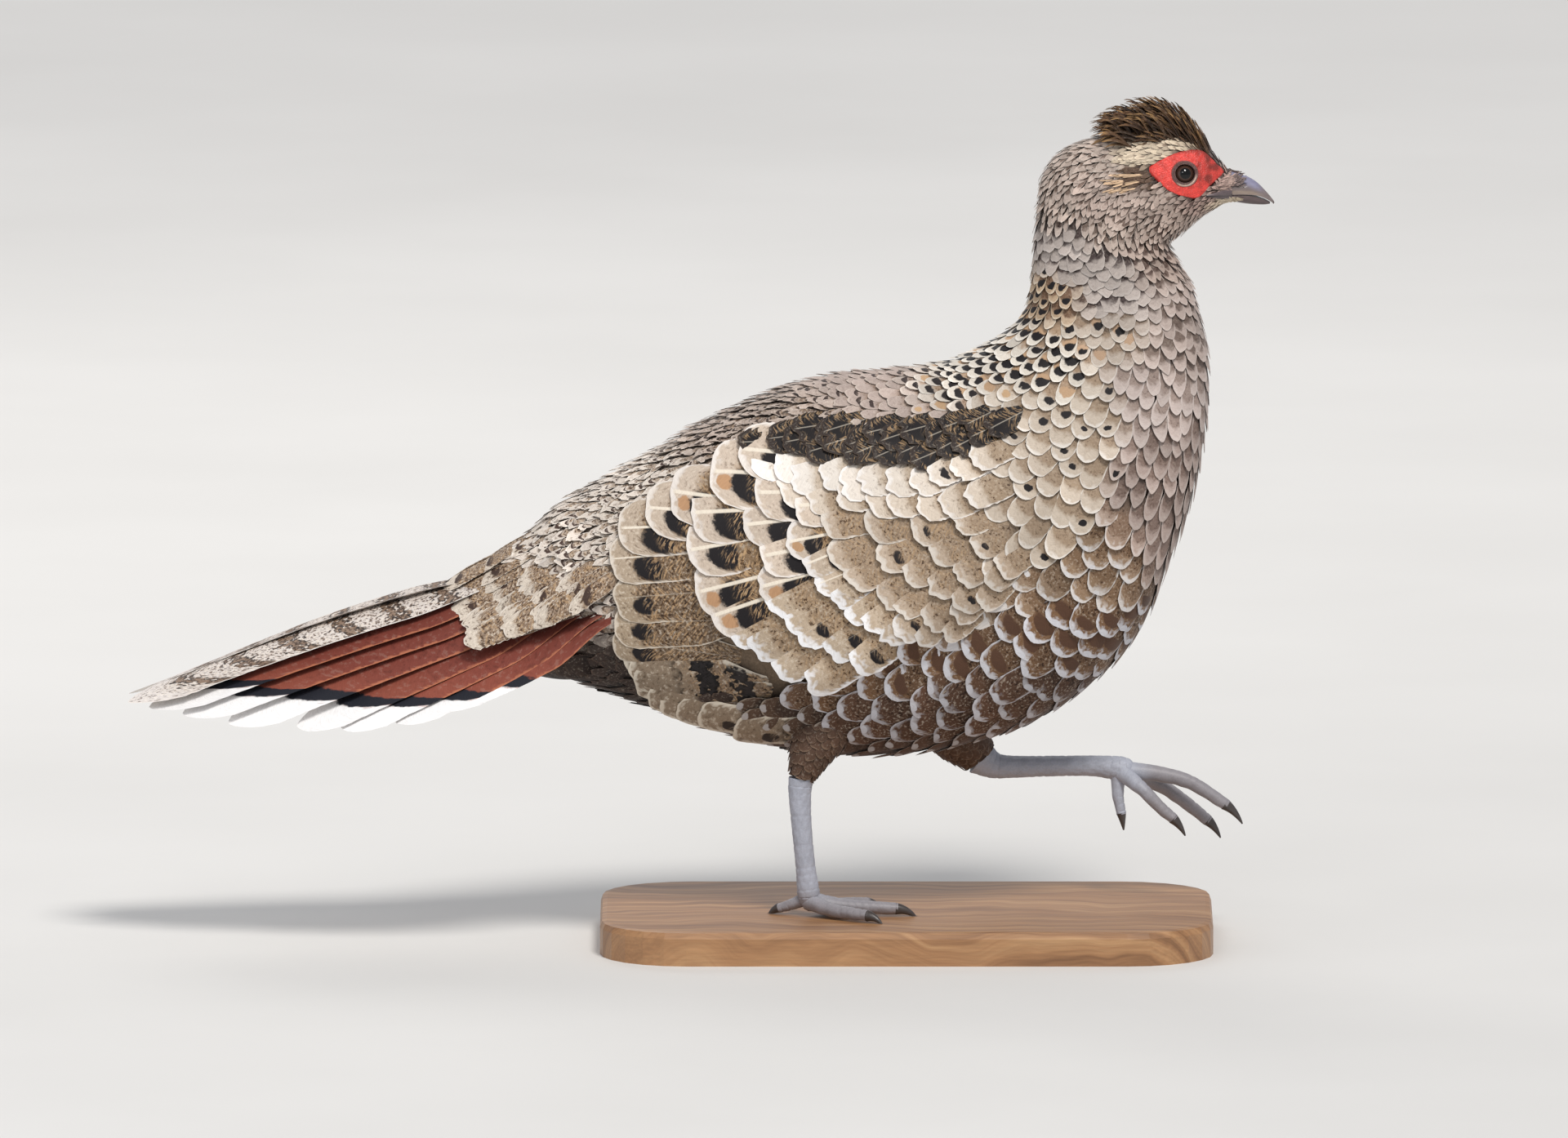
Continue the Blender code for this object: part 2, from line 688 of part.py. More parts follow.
def hock(thigh_path, shank_path):
    """The way across the joint between thigh and shank, and the shank's first row beyond it."""
    end = np.asarray(thigh_path[-1])
    way = np.asarray(shank_path[0])[:3] - np.asarray(thigh_path[-2])[:3]
    way /= np.linalg.norm(way)
    return way, (*(end[:3] + way * GAP), end[3] * HOCK_STEP)


def rest_flat(obj, level):
    """Flattens whatever reaches below a level, so that the foot stands on it."""
    for vertex in obj.data.vertices:
        vertex.co.z = max(vertex.co.z, level * MM)


def claw(name, toe, length):
    """A curved, tapered claw on the end of a toe."""
    toe = np.asarray(toe, float)
    end, before = toe[-1], toe[-2]
    way = end[:3] - before[:3]
    way /= np.linalg.norm(way)
    start = end[:3] + way * GAP
    path = []
    for t in np.linspace(0, 1, CLAW_ROWS):
        drop = np.array([0.0, 0.0, -CLAW_DROP * length * t * t])
        place = start + way * length * t * (1 - CLAW_BEND * t) + drop
        path.append((*place, end[3] * CLAW_ROOT * (1 - t) + CLAW_TIP))
    return closed_object(name, *tube(path, TOE_SIDES))


def shank(side, thigh_path, shank_path):
    way, start = hock(thigh_path, shank_path)
    rows = (start, *shank_path)
    return limb("shank_" + side, rows, SHANK_SIDES, SHANK_ROWS, way, ankle_way(shank_path))


def ankle_way(shank_path):
    way = np.asarray(shank_path[-1])[:3] - np.asarray(shank_path[-2])[:3]
    return way / np.linalg.norm(way)


def foot(side, shank_path, toes, level=None):
    """The ball of the foot with its four toes, and the claws."""
    way = ankle_way(shank_path)
    end = np.asarray(shank_path[-1])
    start = end[:3] + way * GAP
    ball = [(*(start + way * BALL_LENGTH * along), end[3] * share) for along, share in BALL]
    made = closed_object("foot_" + side, *tube(ball, SHANK_SIDES, start_way=way, end_way=way))
    pieces = [limb("toe", path, TOE_SIDES, TOE_ROWS) for path in toes.values()]
    claws = [claw(f"claw_{side}_{toe}", path, CLAW_LENGTH[toe]) for toe, path in toes.items()]
    if level:
        for piece in [made] + pieces + claws:
            rest_flat(piece, level)
    boolean(made, "UNION", pieces)
    boolean(made, "DIFFERENCE", [ankle_cutter(start, way, end[3])])
    return made, claws


def ankle_cutter(start, way, radius):
    """A short thick disc that clears the toes' roots from the end of the shank."""
    reach, spread = ANKLE_CUT
    rows = [(*(start - way * reach), radius * spread), (*start, radius * spread)]
    return closed_object("ankle_cutter", *tube(rows, SHANK_SIDES, start_way=way, end_way=way))


def thigh(name, path, shank_path):
    way, _ = hock(path, shank_path)
    made = limb(name, path, THIGH_SIDES, THIGH_ROWS, end_way=way)
    boolean(made, "DIFFERENCE", [torso_grown()])
    return made


def base_plate():
    """A flat oblong with rounded corners and a softened top edge."""
    outline = []
    for quarter in range(4):
        for step in range(BASE_CORNER_STEPS + 1):
            turn = math.pi / 2 * (quarter + step / BASE_CORNER_STEPS)
            cx = (BASE_LENGTH / 2 - BASE_CORNER) * (1 if quarter in (0, 3) else -1)
            cy = (BASE_WIDTH / 2 - BASE_CORNER) * (1 if quarter in (0, 1) else -1)
            outline.append((cx + BASE_CORNER * math.cos(turn), cy + BASE_CORNER * math.sin(turn)))
    outline = np.array(outline)
    rings = [np.column_stack([outline, np.zeros(len(outline))])]
    for inset, below in BASE_EDGE:
        scale = 1 - inset / np.abs(outline).max(axis=0)
        rings.append(np.column_stack([outline * scale, np.full(len(outline), BASE_THICK - below)]))
    return closed_object("stand_base", *loft(rings))


def plate(outer, inner):
    """Points and faces of a thin closed vane between two grids of points, split alike."""
    rows, cols = outer.shape[:2]
    half = rows * cols
    faces = []
    for i in range(rows - 1):
        for j in range(cols - 1):
            a, b = i * cols + j, i * cols + j + 1
            for corners in ((a, b, b + cols), (a, b + cols, a + cols)):
                faces += [corners, tuple(half + k for k in reversed(corners))]
    rim = list(range(cols)) + [i * cols + cols - 1 for i in range(1, rows)]
    rim += [(rows - 1) * cols + j for j in range(cols - 2, -1, -1)]
    rim += [i * cols for i in range(rows - 2, 0, -1)]
    for a, b in zip(rim, rim[1:] + rim[:1]):
        faces += [(a, a + half, b + half), (a, b + half, b)]
    return np.concatenate([outer.reshape(-1, 3), inner.reshape(-1, 3)]), faces


def free_vane(name, spine, across, normal, widths, thick, shingle, camber):
    """A vane along a spine of points, flat across a given way; its +across edge is lifted."""
    outer, inner = [], []
    for point, width in zip(spine, widths):
        row_out, row_in = [], []
        for v in (-1.0, 0.0, 1.0):
            lift = shingle * v * width / 2 + camber * (1 - v * v)
            place = point + across * v * width / 2 + normal * lift
            edge = thick * (1.0 if v == 0 else 0.62)
            row_out.append(place + normal * edge / 2)
            row_in.append(place - normal * edge / 2)
        outer.append(row_out)
        inner.append(row_in)
    return closed_object(name, *plate(np.array(outer), np.array(inner)))


def core_lift(x):
    """How far the wing's core stands off the body at a place along the bird."""
    return WING_CORE_RISE * (x - WING_REAR)


def wing_vane(name, tip, degrees, length, width, lift):
    """A vane of the folded right wing that follows the body, its root sunk in the wing's core."""
    turn = math.radians(degrees)
    way = np.array([-math.cos(turn), -math.sin(turn)])
    down = np.array([math.sin(turn), -math.cos(turn)])
    root = np.asarray(tip) - way * length
    outer, inner = [], []
    for u, share in zip(WING_STEPS, WING_TAPER):
        middle = root + way * length * u
        level = lift - VANE_SINK * max(0.0, 1 - u / WING_STEPS[1])
        row_out, row_in = [], []
        for v in (-1.0, 0.0, 1.0):
            x, z = middle + down * v * share * width / 2
            rise = level + WING_SHINGLE * v * share * width / 2 + WING_CAMBER * (1 - v * v)
            edge = WING_VANE_THICK * (1.0 if v == 0 else 0.66)
            row_out.append(SKIN.over(x, z, rise + edge / 2))
            row_in.append(SKIN.over(x, z, rise - edge / 2))
        outer.append(row_out)
        inner.append(row_in)
    return closed_object(name, *plate(np.array(outer), np.array(inner)))


def wing_core():
    """The arm and the hidden roots of the right wing, thick in front and thin behind."""
    slices, across = WING_CORE_ROWS
    rings = []
    for i, s in enumerate(np.linspace(0, len(WING_CORE_TOP) - 1, slices)):
        a, b = catmull(WING_CORE_TOP, s), catmull(WING_CORE_LOW, s)
        front = min(1.0, 0.3 + i / 3)
        outer, inner = [], []
        for j in range(across):
            t = j / (across - 1)
            x, z = a + (b - a) * t
            edge = min(1.0, 5 * t * (1 - t) + 0.15)
            outer.append(SKIN.over(x, z, (core_lift(x) * front + 0.3) * edge))
            inner.append(SKIN.over(x, z, -WING_CORE_SINK))
        rings.append(np.array(outer + inner[::-1]))
    return closed_object("wing_right", *loft(rings))


def wing():
    core = wing_core()
    pieces = []
    for name, tips, count, length, width, (first, last), lift in WING_ROWS:
        for k in range(count):
            t = k / (count - 1)
            stagger = [random.uniform(-reach, reach) for reach in WING_STAGGER]
            tip = catmull(tips, t * (len(tips) - 1)) + stagger
            degrees = first + (last - first) * t**1.3 + random.uniform(-WING_SWING, WING_SWING)
            size = length * random.uniform(0.97, 1.03)
            pieces.append(wing_vane(name, tip, degrees, size, width, lift))
    boolean(core, "UNION", pieces, VANE_SOLVER)
    boolean(core, "DIFFERENCE", [torso_grown()], VANE_SOLVER)
    return core


def sloped(slope, side):
    """Across and normal of a vane that slopes down from the bird's middle by an angle."""
    across = np.array([0.0, -math.cos(slope), -math.sin(slope)])
    normal = np.array([0.0, -math.sin(slope), math.cos(slope)])
    flip = np.array([1.0, side, 1.0])
    return across * flip, normal * flip


def rectrix(side, index):
    """One tail feather, from the central one (0) outward."""
    t = index / (len(RECTRIX_TIPS) - 1)
    first, last = np.array(RECTRIX_ROOTS)
    root = first + (last - first) * t
    tip = np.array(RECTRIX_TIPS[index])
    middle = (root + tip) / 2 + np.array([0.0, 0.0, RECTRIX_ARCH * (1 - t)])
    slope = RECTRIX_SLOPE[0] + (RECTRIX_SLOPE[1] - RECTRIX_SLOPE[0]) * min(1.0, 2.5 * t)
    across, normal = sloped(slope, side)
    width = RECTRIX_WIDTH[0] + (RECTRIX_WIDTH[1] - RECTRIX_WIDTH[0]) * t
    spine = np.array([catmull((root, middle, tip), 2 * u) for u in RECTRIX_STEPS]) * (1, side, 1)
    widths = [width * share for share in RECTRIX_TAPER]
    form = (widths, RECTRIX_THICK, RECTRIX_SHINGLE, RECTRIX_CAMBER)
    return free_vane("rectrix", spine, across, normal, *form)


def tail_coverts(side):
    pieces = []
    for name, count, root_a, tip_a, root_b, tip_b, width, (slope_a, slope_b) in TAIL_COVERTS:
        for k in range(count):
            t = k / (count - 1)
            root = np.array(root_a) + (np.array(root_b) - root_a) * t
            tip = np.array(tip_a) + (np.array(tip_b) - tip_a) * t
            tip[0] += random.uniform(-COVERT_STAGGER, COVERT_STAGGER)
            across, normal = sloped(math.radians(slope_a + (slope_b - slope_a) * t), side)
            spine = np.array([root + (tip - root) * u for u in COVERT_STEPS]) * (1, side, 1)
            widths = [width * share for share in COVERT_TAPER]
            form = (widths, COVERT_THICK, COVERT_SHINGLE, COVERT_CAMBER)
            pieces.append(free_vane(name, spine, across, normal, *form))
    return pieces


def tail():
    """The tail's root with its roof of feathers, central pair on top, and the coverts."""
    places = np.linspace(0, len(TAIL_CORE) - 1, TAIL_RINGS)
    rings = [ring_of(catmull(TAIL_CORE, s), TAIL_SIDES) for s in places]
    rings[0] = rings[0] - ring_normal(rings[0]) * GAP
    core = closed_object("tail", *loft(rings))
    pieces = []
    for side in (1, -1):
        pieces += [rectrix(side, index) for index in range(len(RECTRIX_TIPS))] + tail_coverts(side)
    boolean(core, "UNION", pieces, VANE_SOLVER)
    return core


def crest_locks():
    """Loose, pointed feathers of the crown that rise backward, singly or three abreast."""
    pieces = []
    for row in range(CREST_ROWS):
        station, tip_x, tip_z = catmull(CREST_PLACES, 2 * row / (CREST_ROWS - 1))
        for angle in CREST_ANGLES[: 1 + 2 * (row % 3 != 2)]:
            lean = angle * random.uniform(0.85, 1.1)
            foot_place = SKIN.point(station, abs(lean)) - SKIN.normal(station, abs(lean)) * CREST_SINK
            foot_place[1] *= -1 if lean > 0 else 1
            back = random.uniform(-CREST_STAGGER, CREST_STAGGER)
            low = abs(lean) * CREST_SIDE_DROP + random.uniform(0, 1)
            tip = np.array([tip_x + back, foot_place[1] * 1.1, tip_z - low])
            rise = (tip - foot_place) / 2 + np.array([0.0, 0.0, CREST_BOW])
            spine = np.array([foot_place, foot_place + rise, tip])
            way = tip - foot_place
            across = np.cross(way, (0.0, math.sin(-lean), math.cos(lean)))
            across /= np.linalg.norm(across)
            normal = np.cross(across, way)
            normal /= np.linalg.norm(normal)
            widths = [CREST_WIDTH * share for share in CREST_TAPER]
            form = (widths, CREST_THICK, 0.0, CREST_CAMBER)
            pieces.append(free_vane("lock", spine, across, normal, *form))
    return pieces


def main():
    clear_scene()
    random.seed(SEED)
    feathers = material("torso_feathers", FEATHER_BROWN, 0.8)
    neck_coat = material("neck_feathers", NECK_BUFF, 0.8)
    head_coat = material("head_feathers", HEAD_BROWN, 0.8)
    wing_coat = material("wing_feathers", WING_BUFF, 0.7)
    tail_coat = material("tail_feathers", TAIL_RUFOUS, 0.7)
    horn = material("horn", HORN_GREY, 0.35)
    scales = material("leg_scales", LEG_BLUE_GREY, 0.5)
    claw_horn = material("claw_horn", CLAW_DARK, 0.35)
    eye = material("eye", EYE_DARK, 0.05)
    wood = material("base_wood", BASE_WOOD, 0.45)

    finish(torso(), feathers)
    finish(neck(), neck_coat)
    finish(head(), head_coat)
    for name in ("eye_right", "eye_left"):
        finish(bpy.data.objects[name], eye)
    for piece in bill():
        finish(piece, horn)
    right = wing()
    finish(right, wing_coat)
    finish(mirrored(right, "wing_left"), wing_coat)
    finish(tail(), tail_coat)
    for side, thigh_path, shank_path, toes, level in (
        ("right", THIGH_RIGHT, SHANK_RIGHT, TOES_RIGHT, BASE_THICK + GAP),
        ("left", THIGH_LEFT, SHANK_LEFT, TOES_LEFT, None),
    ):
        finish(thigh("thigh_" + side, thigh_path, shank_path), feathers)
        finish(shank(side, thigh_path, shank_path), scales)
        sole, claws = foot(side, shank_path, toes, level)
        finish(sole, scales)
        for piece in claws:
            finish(piece, claw_horn)
    finish(base_plate(), wood)


main()
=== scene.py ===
"""Looks of the hen Hume's pheasant: skin, plumage feather by feather, face, legs and base."""

import math

import bpy
import numpy as np
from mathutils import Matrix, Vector
from mathutils.bvhtree import BVHTree
from mathutils.kdtree import KDTree


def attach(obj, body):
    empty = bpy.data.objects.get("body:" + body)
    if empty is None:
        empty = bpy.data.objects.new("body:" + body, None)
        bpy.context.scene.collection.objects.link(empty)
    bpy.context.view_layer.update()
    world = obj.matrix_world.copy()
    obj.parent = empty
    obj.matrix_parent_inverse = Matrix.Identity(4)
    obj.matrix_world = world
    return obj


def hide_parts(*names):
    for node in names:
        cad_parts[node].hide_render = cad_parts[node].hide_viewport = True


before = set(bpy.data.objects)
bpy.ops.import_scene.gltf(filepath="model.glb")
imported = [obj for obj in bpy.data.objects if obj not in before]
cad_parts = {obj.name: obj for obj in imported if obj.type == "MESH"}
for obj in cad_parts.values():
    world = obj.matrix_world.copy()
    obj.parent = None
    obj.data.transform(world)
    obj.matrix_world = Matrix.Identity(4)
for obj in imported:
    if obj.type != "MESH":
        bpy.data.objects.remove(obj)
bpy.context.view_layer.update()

MM = 0.001
BODY = "root"
SIDES = (("right", 1), ("left", -1))
RNG = np.random.default_rng(11)

# Camera: the photograph's frame is 691 mm wide at the bird and looks down by 8 degrees.
FRAME_WIDTH = 691.2
FRAME_CENTRE = (-54.0, 0.0, 165.5)
CAMERA_TILT = math.radians(8.0)
CAMERA_DISTANCE = 16000.0
SENSOR = 36.0
# Side of the pale floor, in metres.
FLOOR = 60.0
# Edges that bend by more than this stay sharp in the shading.
SHARP_EDGE = math.radians(65.0)

# Stations of the body from the tail's root to the bill: back line (x, z), belly line (x, z),
# half the width. They are the outer surface of the plumage.
STATIONS = (
    (-200.0, 158.0, -199.0, 143.0, 8.5),
    (-182.0, 170.0, -181.0, 137.0, 15.0),
    (-166.0, 182.5, -166.0, 128.0, 22.0),
    (-151.2, 196.0, -150.0, 118.0, 31.0),
    (-115.2, 216.6, -117.0, 106.0, 41.0),
    (-79.2, 236.6, -77.4, 92.5, 49.0),
    (-45.0, 249.7, -32.4, 84.0, 52.5),
    (-12.6, 254.0, 14.4, 86.0, 53.5),
    (14.4, 257.0, 60.0, 101.0, 52.5),
    (33.5, 264.6, 97.0, 131.5, 48.5),
    (45.7, 272.5, 119.0, 176.0, 42.5),
    (52.6, 282.0, 131.0, 219.5, 36.0),
    (55.4, 296.0, 132.5, 259.5, 30.5),
    (56.4, 310.6, 125.5, 289.5, 26.5),
    (57.9, 325.5, 115.4, 308.9, 23.5),
    (60.8, 340.5, 120.8, 316.0, 21.5),
    (70.5, 352.2, 129.4, 322.8, 19.3),
    (88.0, 358.4, 135.5, 326.0, 17.6),
    (112.4, 362.5, 139.6, 328.2, 14.6),
    (129.0, 356.3, 141.6, 328.9, 10.6),
    (142.2, 342.5, 142.9, 329.3, 5.6),
)
# How much wider the sections are low down, and how square they are (1 is an ellipse).
PEAR = 0.10
FULLNESS = 0.86

# The folded wing swells the side of the body: outline of the swelling, its rise per mm in front
# of its rear end, how far inside the outline it is full, and how it fades at the front and back.
WING_OUTLINE = (
    (74.0, 205.0), (50.0, 236.0), (5.0, 244.0), (-42.0, 236.0), (-82.0, 215.0), (-106.0, 192.0),
    (-114.0, 168.0), (-98.0, 126.0), (-68.0, 111.0), (-30.0, 112.0), (10.0, 134.0), (46.0, 163.0),
)
WING_REAR = -130.0
WING_RISE = 0.055
WING_SHOULDER = (-4.0, 18.0)
WING_FRONT = (15.0, 78.0)
WING_FRONT_LOSS = 0.85
SWELL_SIDE = (0.1, 0.6)

# The right eye seen from the side, how far it stands out, and where its lids end.
EYE_CENTRE = (122.2, 343.3)
EYE_RADIUS = 5.2
EYE_PROUD = 1.9
LID_REACH = 5.4


def srgb(r, g, b):
    """A colour given in 0..255 display values, as linear light."""
    c = np.array([r, g, b], float) / 255.0
    return np.where(c <= 0.04045, c / 12.92, ((c + 0.055) / 1.055) ** 2.4)


def smooth(x, low, high):
    """0 at low and 1 at high, with an even rise between them."""
    t = np.clip((x - low) / (high - low), 0.0, 1.0)
    return t * t * (3 - 2 * t)


def unit(v):
    """Vectors brought to length 1."""
    return v / np.maximum(np.linalg.norm(v, axis=-1, keepdims=True), 1e-9)


def catmull(rows, s):
    """A smooth curve through rows, read at an array of parameters counted in rows."""
    rows = np.asarray(rows, float)
    s = np.atleast_1d(np.asarray(s, float))
    padded = np.vstack([2 * rows[0] - rows[1], rows, 2 * rows[-1] - rows[-2]])
    i = np.clip(np.floor(s).astype(int), 0, len(rows) - 2)
    t = (s - i)[:, None]
    a, b, c, d = padded[i], padded[i + 1], padded[i + 2], padded[i + 3]
    square, cube = 2 * a - 5 * b + 4 * c - d, 3 * b - 3 * c + d - a
    return 0.5 * (2 * b + (c - a) * t + square * t**2 + cube * t**3)


def inside_distance(points, outline):
    """Signed distance of (x, z) points to a closed outline, positive inside."""
    outline = np.asarray(outline, float)
    nearest = np.full(len(points), 1e9)
    inside = np.zeros(len(points), bool)
    x, z = points[:, 0], points[:, 1]
    for (x0, z0), (x1, z1) in zip(outline, np.roll(outline, -1, axis=0)):
        run = np.array([x1 - x0, z1 - z0])
        t = np.clip(((x - x0) * run[0] + (z - z0) * run[1]) / run.dot(run), 0, 1)
        nearest = np.minimum(nearest, np.hypot(x - x0 - t * run[0], z - z0 - t * run[1]))
        crosses = (z0 > z) != (z1 > z)
        with np.errstate(divide="ignore", invalid="ignore"):
            at = x0 + (z - z0) * (x1 - x0) / (z1 - z0)
        inside ^= crosses & (x < at)
    return np.where(inside, nearest, -nearest)


def side_distance(x, z, outline):
    """inside_distance for arrays of any shape."""
    return inside_distance(np.stack([x.ravel(), z.ravel()], axis=1), outline).reshape(x.shape)


def wing_swell(x, z):
    """How far the folded wing lifts the plumage off the flank."""
    rise = WING_RISE * np.maximum(x - WING_REAR, 0.0)
    inner = side_distance(x, z, WING_OUTLINE)
    return rise * smooth(inner, *WING_SHOULDER) * (1 - WING_FRONT_LOSS * smooth(x, *WING_FRONT))


# Waves summed in a ripple, and what brings their sum to about 1.
RIPPLE_WAVES = 14
RIPPLE_PEAK = 5.0


def ripple(x, z, scale, seed):
    """Smooth made-up relief over side places, from -1 to 1."""
    draw = np.random.default_rng(seed)
    total = np.zeros_like(x)
    for _ in range(RIPPLE_WAVES):
        turn, phase = draw.uniform(0, 2 * math.pi, 2)
        along = (x * math.cos(turn) + z * math.sin(turn)) / scale
        total += np.sin(along * draw.uniform(0.7, 1.5) + phase)
    return total / RIPPLE_PEAK


def grid_quads(rows, cols, wrap_rows=False):
    """Quads over a grid of points that closes on itself across, and along too if asked."""
    i, j = np.meshgrid(np.arange(rows if wrap_rows else rows - 1), np.arange(cols), indexing="ij")
    k, m = (j + 1) % cols, (i + 1) % rows
    corners = (i * cols + j, i * cols + k, m * cols + k, m * cols + j)
    return np.stack(corners, axis=-1).reshape(-1, 4)


class Surface:
    """A closed tube of points that feathers lie on, with its normals and the lie of the coat."""

    def __init__(self, grid, station, angle, flip_lie=True):
        rows, cols = grid.shape[:2]
        self.points = grid.reshape(-1, 3)
        along = np.gradient(grid, axis=0)
        around = np.roll(grid, -1, axis=1) - np.roll(grid, 1, axis=1)
        normal = unit(np.cross(around, along))
        centre = grid.mean(axis=1, keepdims=True)
        if ((grid - centre) * normal).sum() < 0:
            normal = -normal
        self.normal = normal.reshape(-1, 3)
        self.lie = unit((-along if flip_lie else along).reshape(-1, 3))
        self.station = np.repeat(station, cols)
        self.angle = np.tile(angle, rows)
        self.quads = grid_quads(rows, cols)
        self.tree = BVHTree.FromPolygons(self.points.tolist(), self.quads.tolist())

    def nearest(self, queries):
        """Place, normal and lie at the surface points nearest to the queries."""
        flat = np.asarray(queries, float).reshape(-1, 3)
        place = np.empty_like(flat)
        face = np.empty(len(flat), int)
        find = self.tree.find_nearest
        for n, q in enumerate(flat.tolist()):
            hit, _, index, _ = find(q)
            place[n] = hit
            face[n] = index
        corners = self.quads[face]
        gap = np.linalg.norm(self.points[corners] - place[:, None, :], axis=2)
        weight = 1.0 / (gap**2 + 0.01)
        weight /= weight.sum(axis=1, keepdims=True)
        normal = unit((self.normal[corners] * weight[..., None]).sum(axis=1))
        lie = unit((self.lie[corners] * weight[..., None]).sum(axis=1))
        station = (self.station[corners] * weight).sum(axis=1)
        angle = self.angle[corners[:, 0]]
        return place, normal, lie, station, angle


def body_place(table, angle):
    """Places at angles from the back line, round the sections that columns of stations give."""
    top_x, top_z, low_x, low_z, half = table
    c, rise = np.cos(angle), np.sin(angle)
    x = (top_x + low_x) / 2 + c * (top_x - low_x) / 2
    z = (top_z + low_z) / 2 + c * (top_z - low_z) / 2
    y = -half * np.sign(rise) * np.abs(rise) ** FULLNESS * (1 - PEAR * c)
    return x, y, z


def body_grid(rows, cols, stations=STATIONS):
    """The plumage's outer surface with the swell of the wings: grid, stations and angles."""
    s = np.linspace(0, len(stations) - 1, rows)
    angle = np.linspace(0, 2 * math.pi, cols, endpoint=False)
    x, y, z = body_place([column[:, None] for column in catmull(stations, s).T], angle[None])
    rise = np.sin(angle)[None]
    y = y - np.sign(rise) * wing_swell(x, z) * smooth(np.abs(rise), *SWELL_SIDE)
    return np.stack([x, y, z], axis=-1), s, angle


def tube_grid(path, rows, cols):
    """A limb's surface along (x, y, z, radius) rows."""
    path = catmull(path, np.linspace(0, len(path) - 1, rows))
    centre, radius = path[:, :3], path[:, 3]
    along = unit(np.gradient(centre, axis=0))
    a = unit(np.array([0.0, 1.0, 0.0]) - along * along[:, 1:2])
    b = np.cross(along, a)
    angle = np.linspace(0, 2 * math.pi, cols, endpoint=False)
    turn = angle[None, :, None]
    out = np.cos(turn) * a[:, None] + np.sin(turn) * b[:, None]
    return centre[:, None] + radius[:, None, None] * out, angle


BODY_SURFACE = Surface(*body_grid(430, 160))
# The head's end carried on over the bill, for the small feathers that run out onto its root.
SNOUT_FIRST = 14
SNOUT = STATIONS[SNOUT_FIRST:] + (
    (147.0, 341.2, 147.0, 328.6, 4.7), (151.0, 339.7, 151.0, 328.0, 4.1),
    (155.0, 336.9, 155.0, 327.7, 3.3),
)
SNOUT_SURFACE = Surface(*body_grid(160, 96, SNOUT))
# Length along the side to each station, and the half widths.
MIDDLES = (np.array(STATIONS)[:, 0:2] + np.array(STATIONS)[:, 2:4]) / 2
MIDLINE = np.concatenate([[0.0], np.cumsum(np.hypot(*np.diff(MIDDLES, axis=0).T))])
HALF_WIDTHS = np.array(STATIONS)[:, 4]


BLACK = (28, 24, 25)
BUFF = (182, 150, 112)
# The plumage's greyish violet cast, in linear light.
CAST = np.array((1.0, 1.02, 1.07))
# How torn a feather's tip is, in mm, where its style's looseness is 1.
RAGGED = 0.4

# What a feather may carry besides the values that every style sets. Colours are display values;
# distances are mm from the tip or, for the last number of a mark, from the shaft (positive
# towards the lower web); marks are (from the tip, half length, half width, off the shaft).
PLAIN = {
    "tip_spot": 0.0, "side_edge": 3.5,
    "mark": BLACK, "mark_chance": 0.0, "mark_at": (3.0, 1.5, 1.5, 0.0),
    "mark2": BUFF, "mark2_chance": 0.0, "mark2_at": (3.0, 1.5, 1.5, 0.0),
    "bar": BLACK, "bar_strength": 0.0, "bar_period": 10.0, "bar_share": 0.5,
    "streak": 0.0, "vermi": 0.0, "down": 0.7, "slim": 0.0, "slant": 0.0,
}


def look(base, field, field_from, edge, edge_width, mottle, loose, **more):
    """A style: colours of the feather, its hidden field and its edge, and how broken it is."""
    return dict(PLAIN, base=base, field=field, field_from=field_from, edge=edge,
                edge_width=edge_width, mottle=mottle, loose=loose, **more)


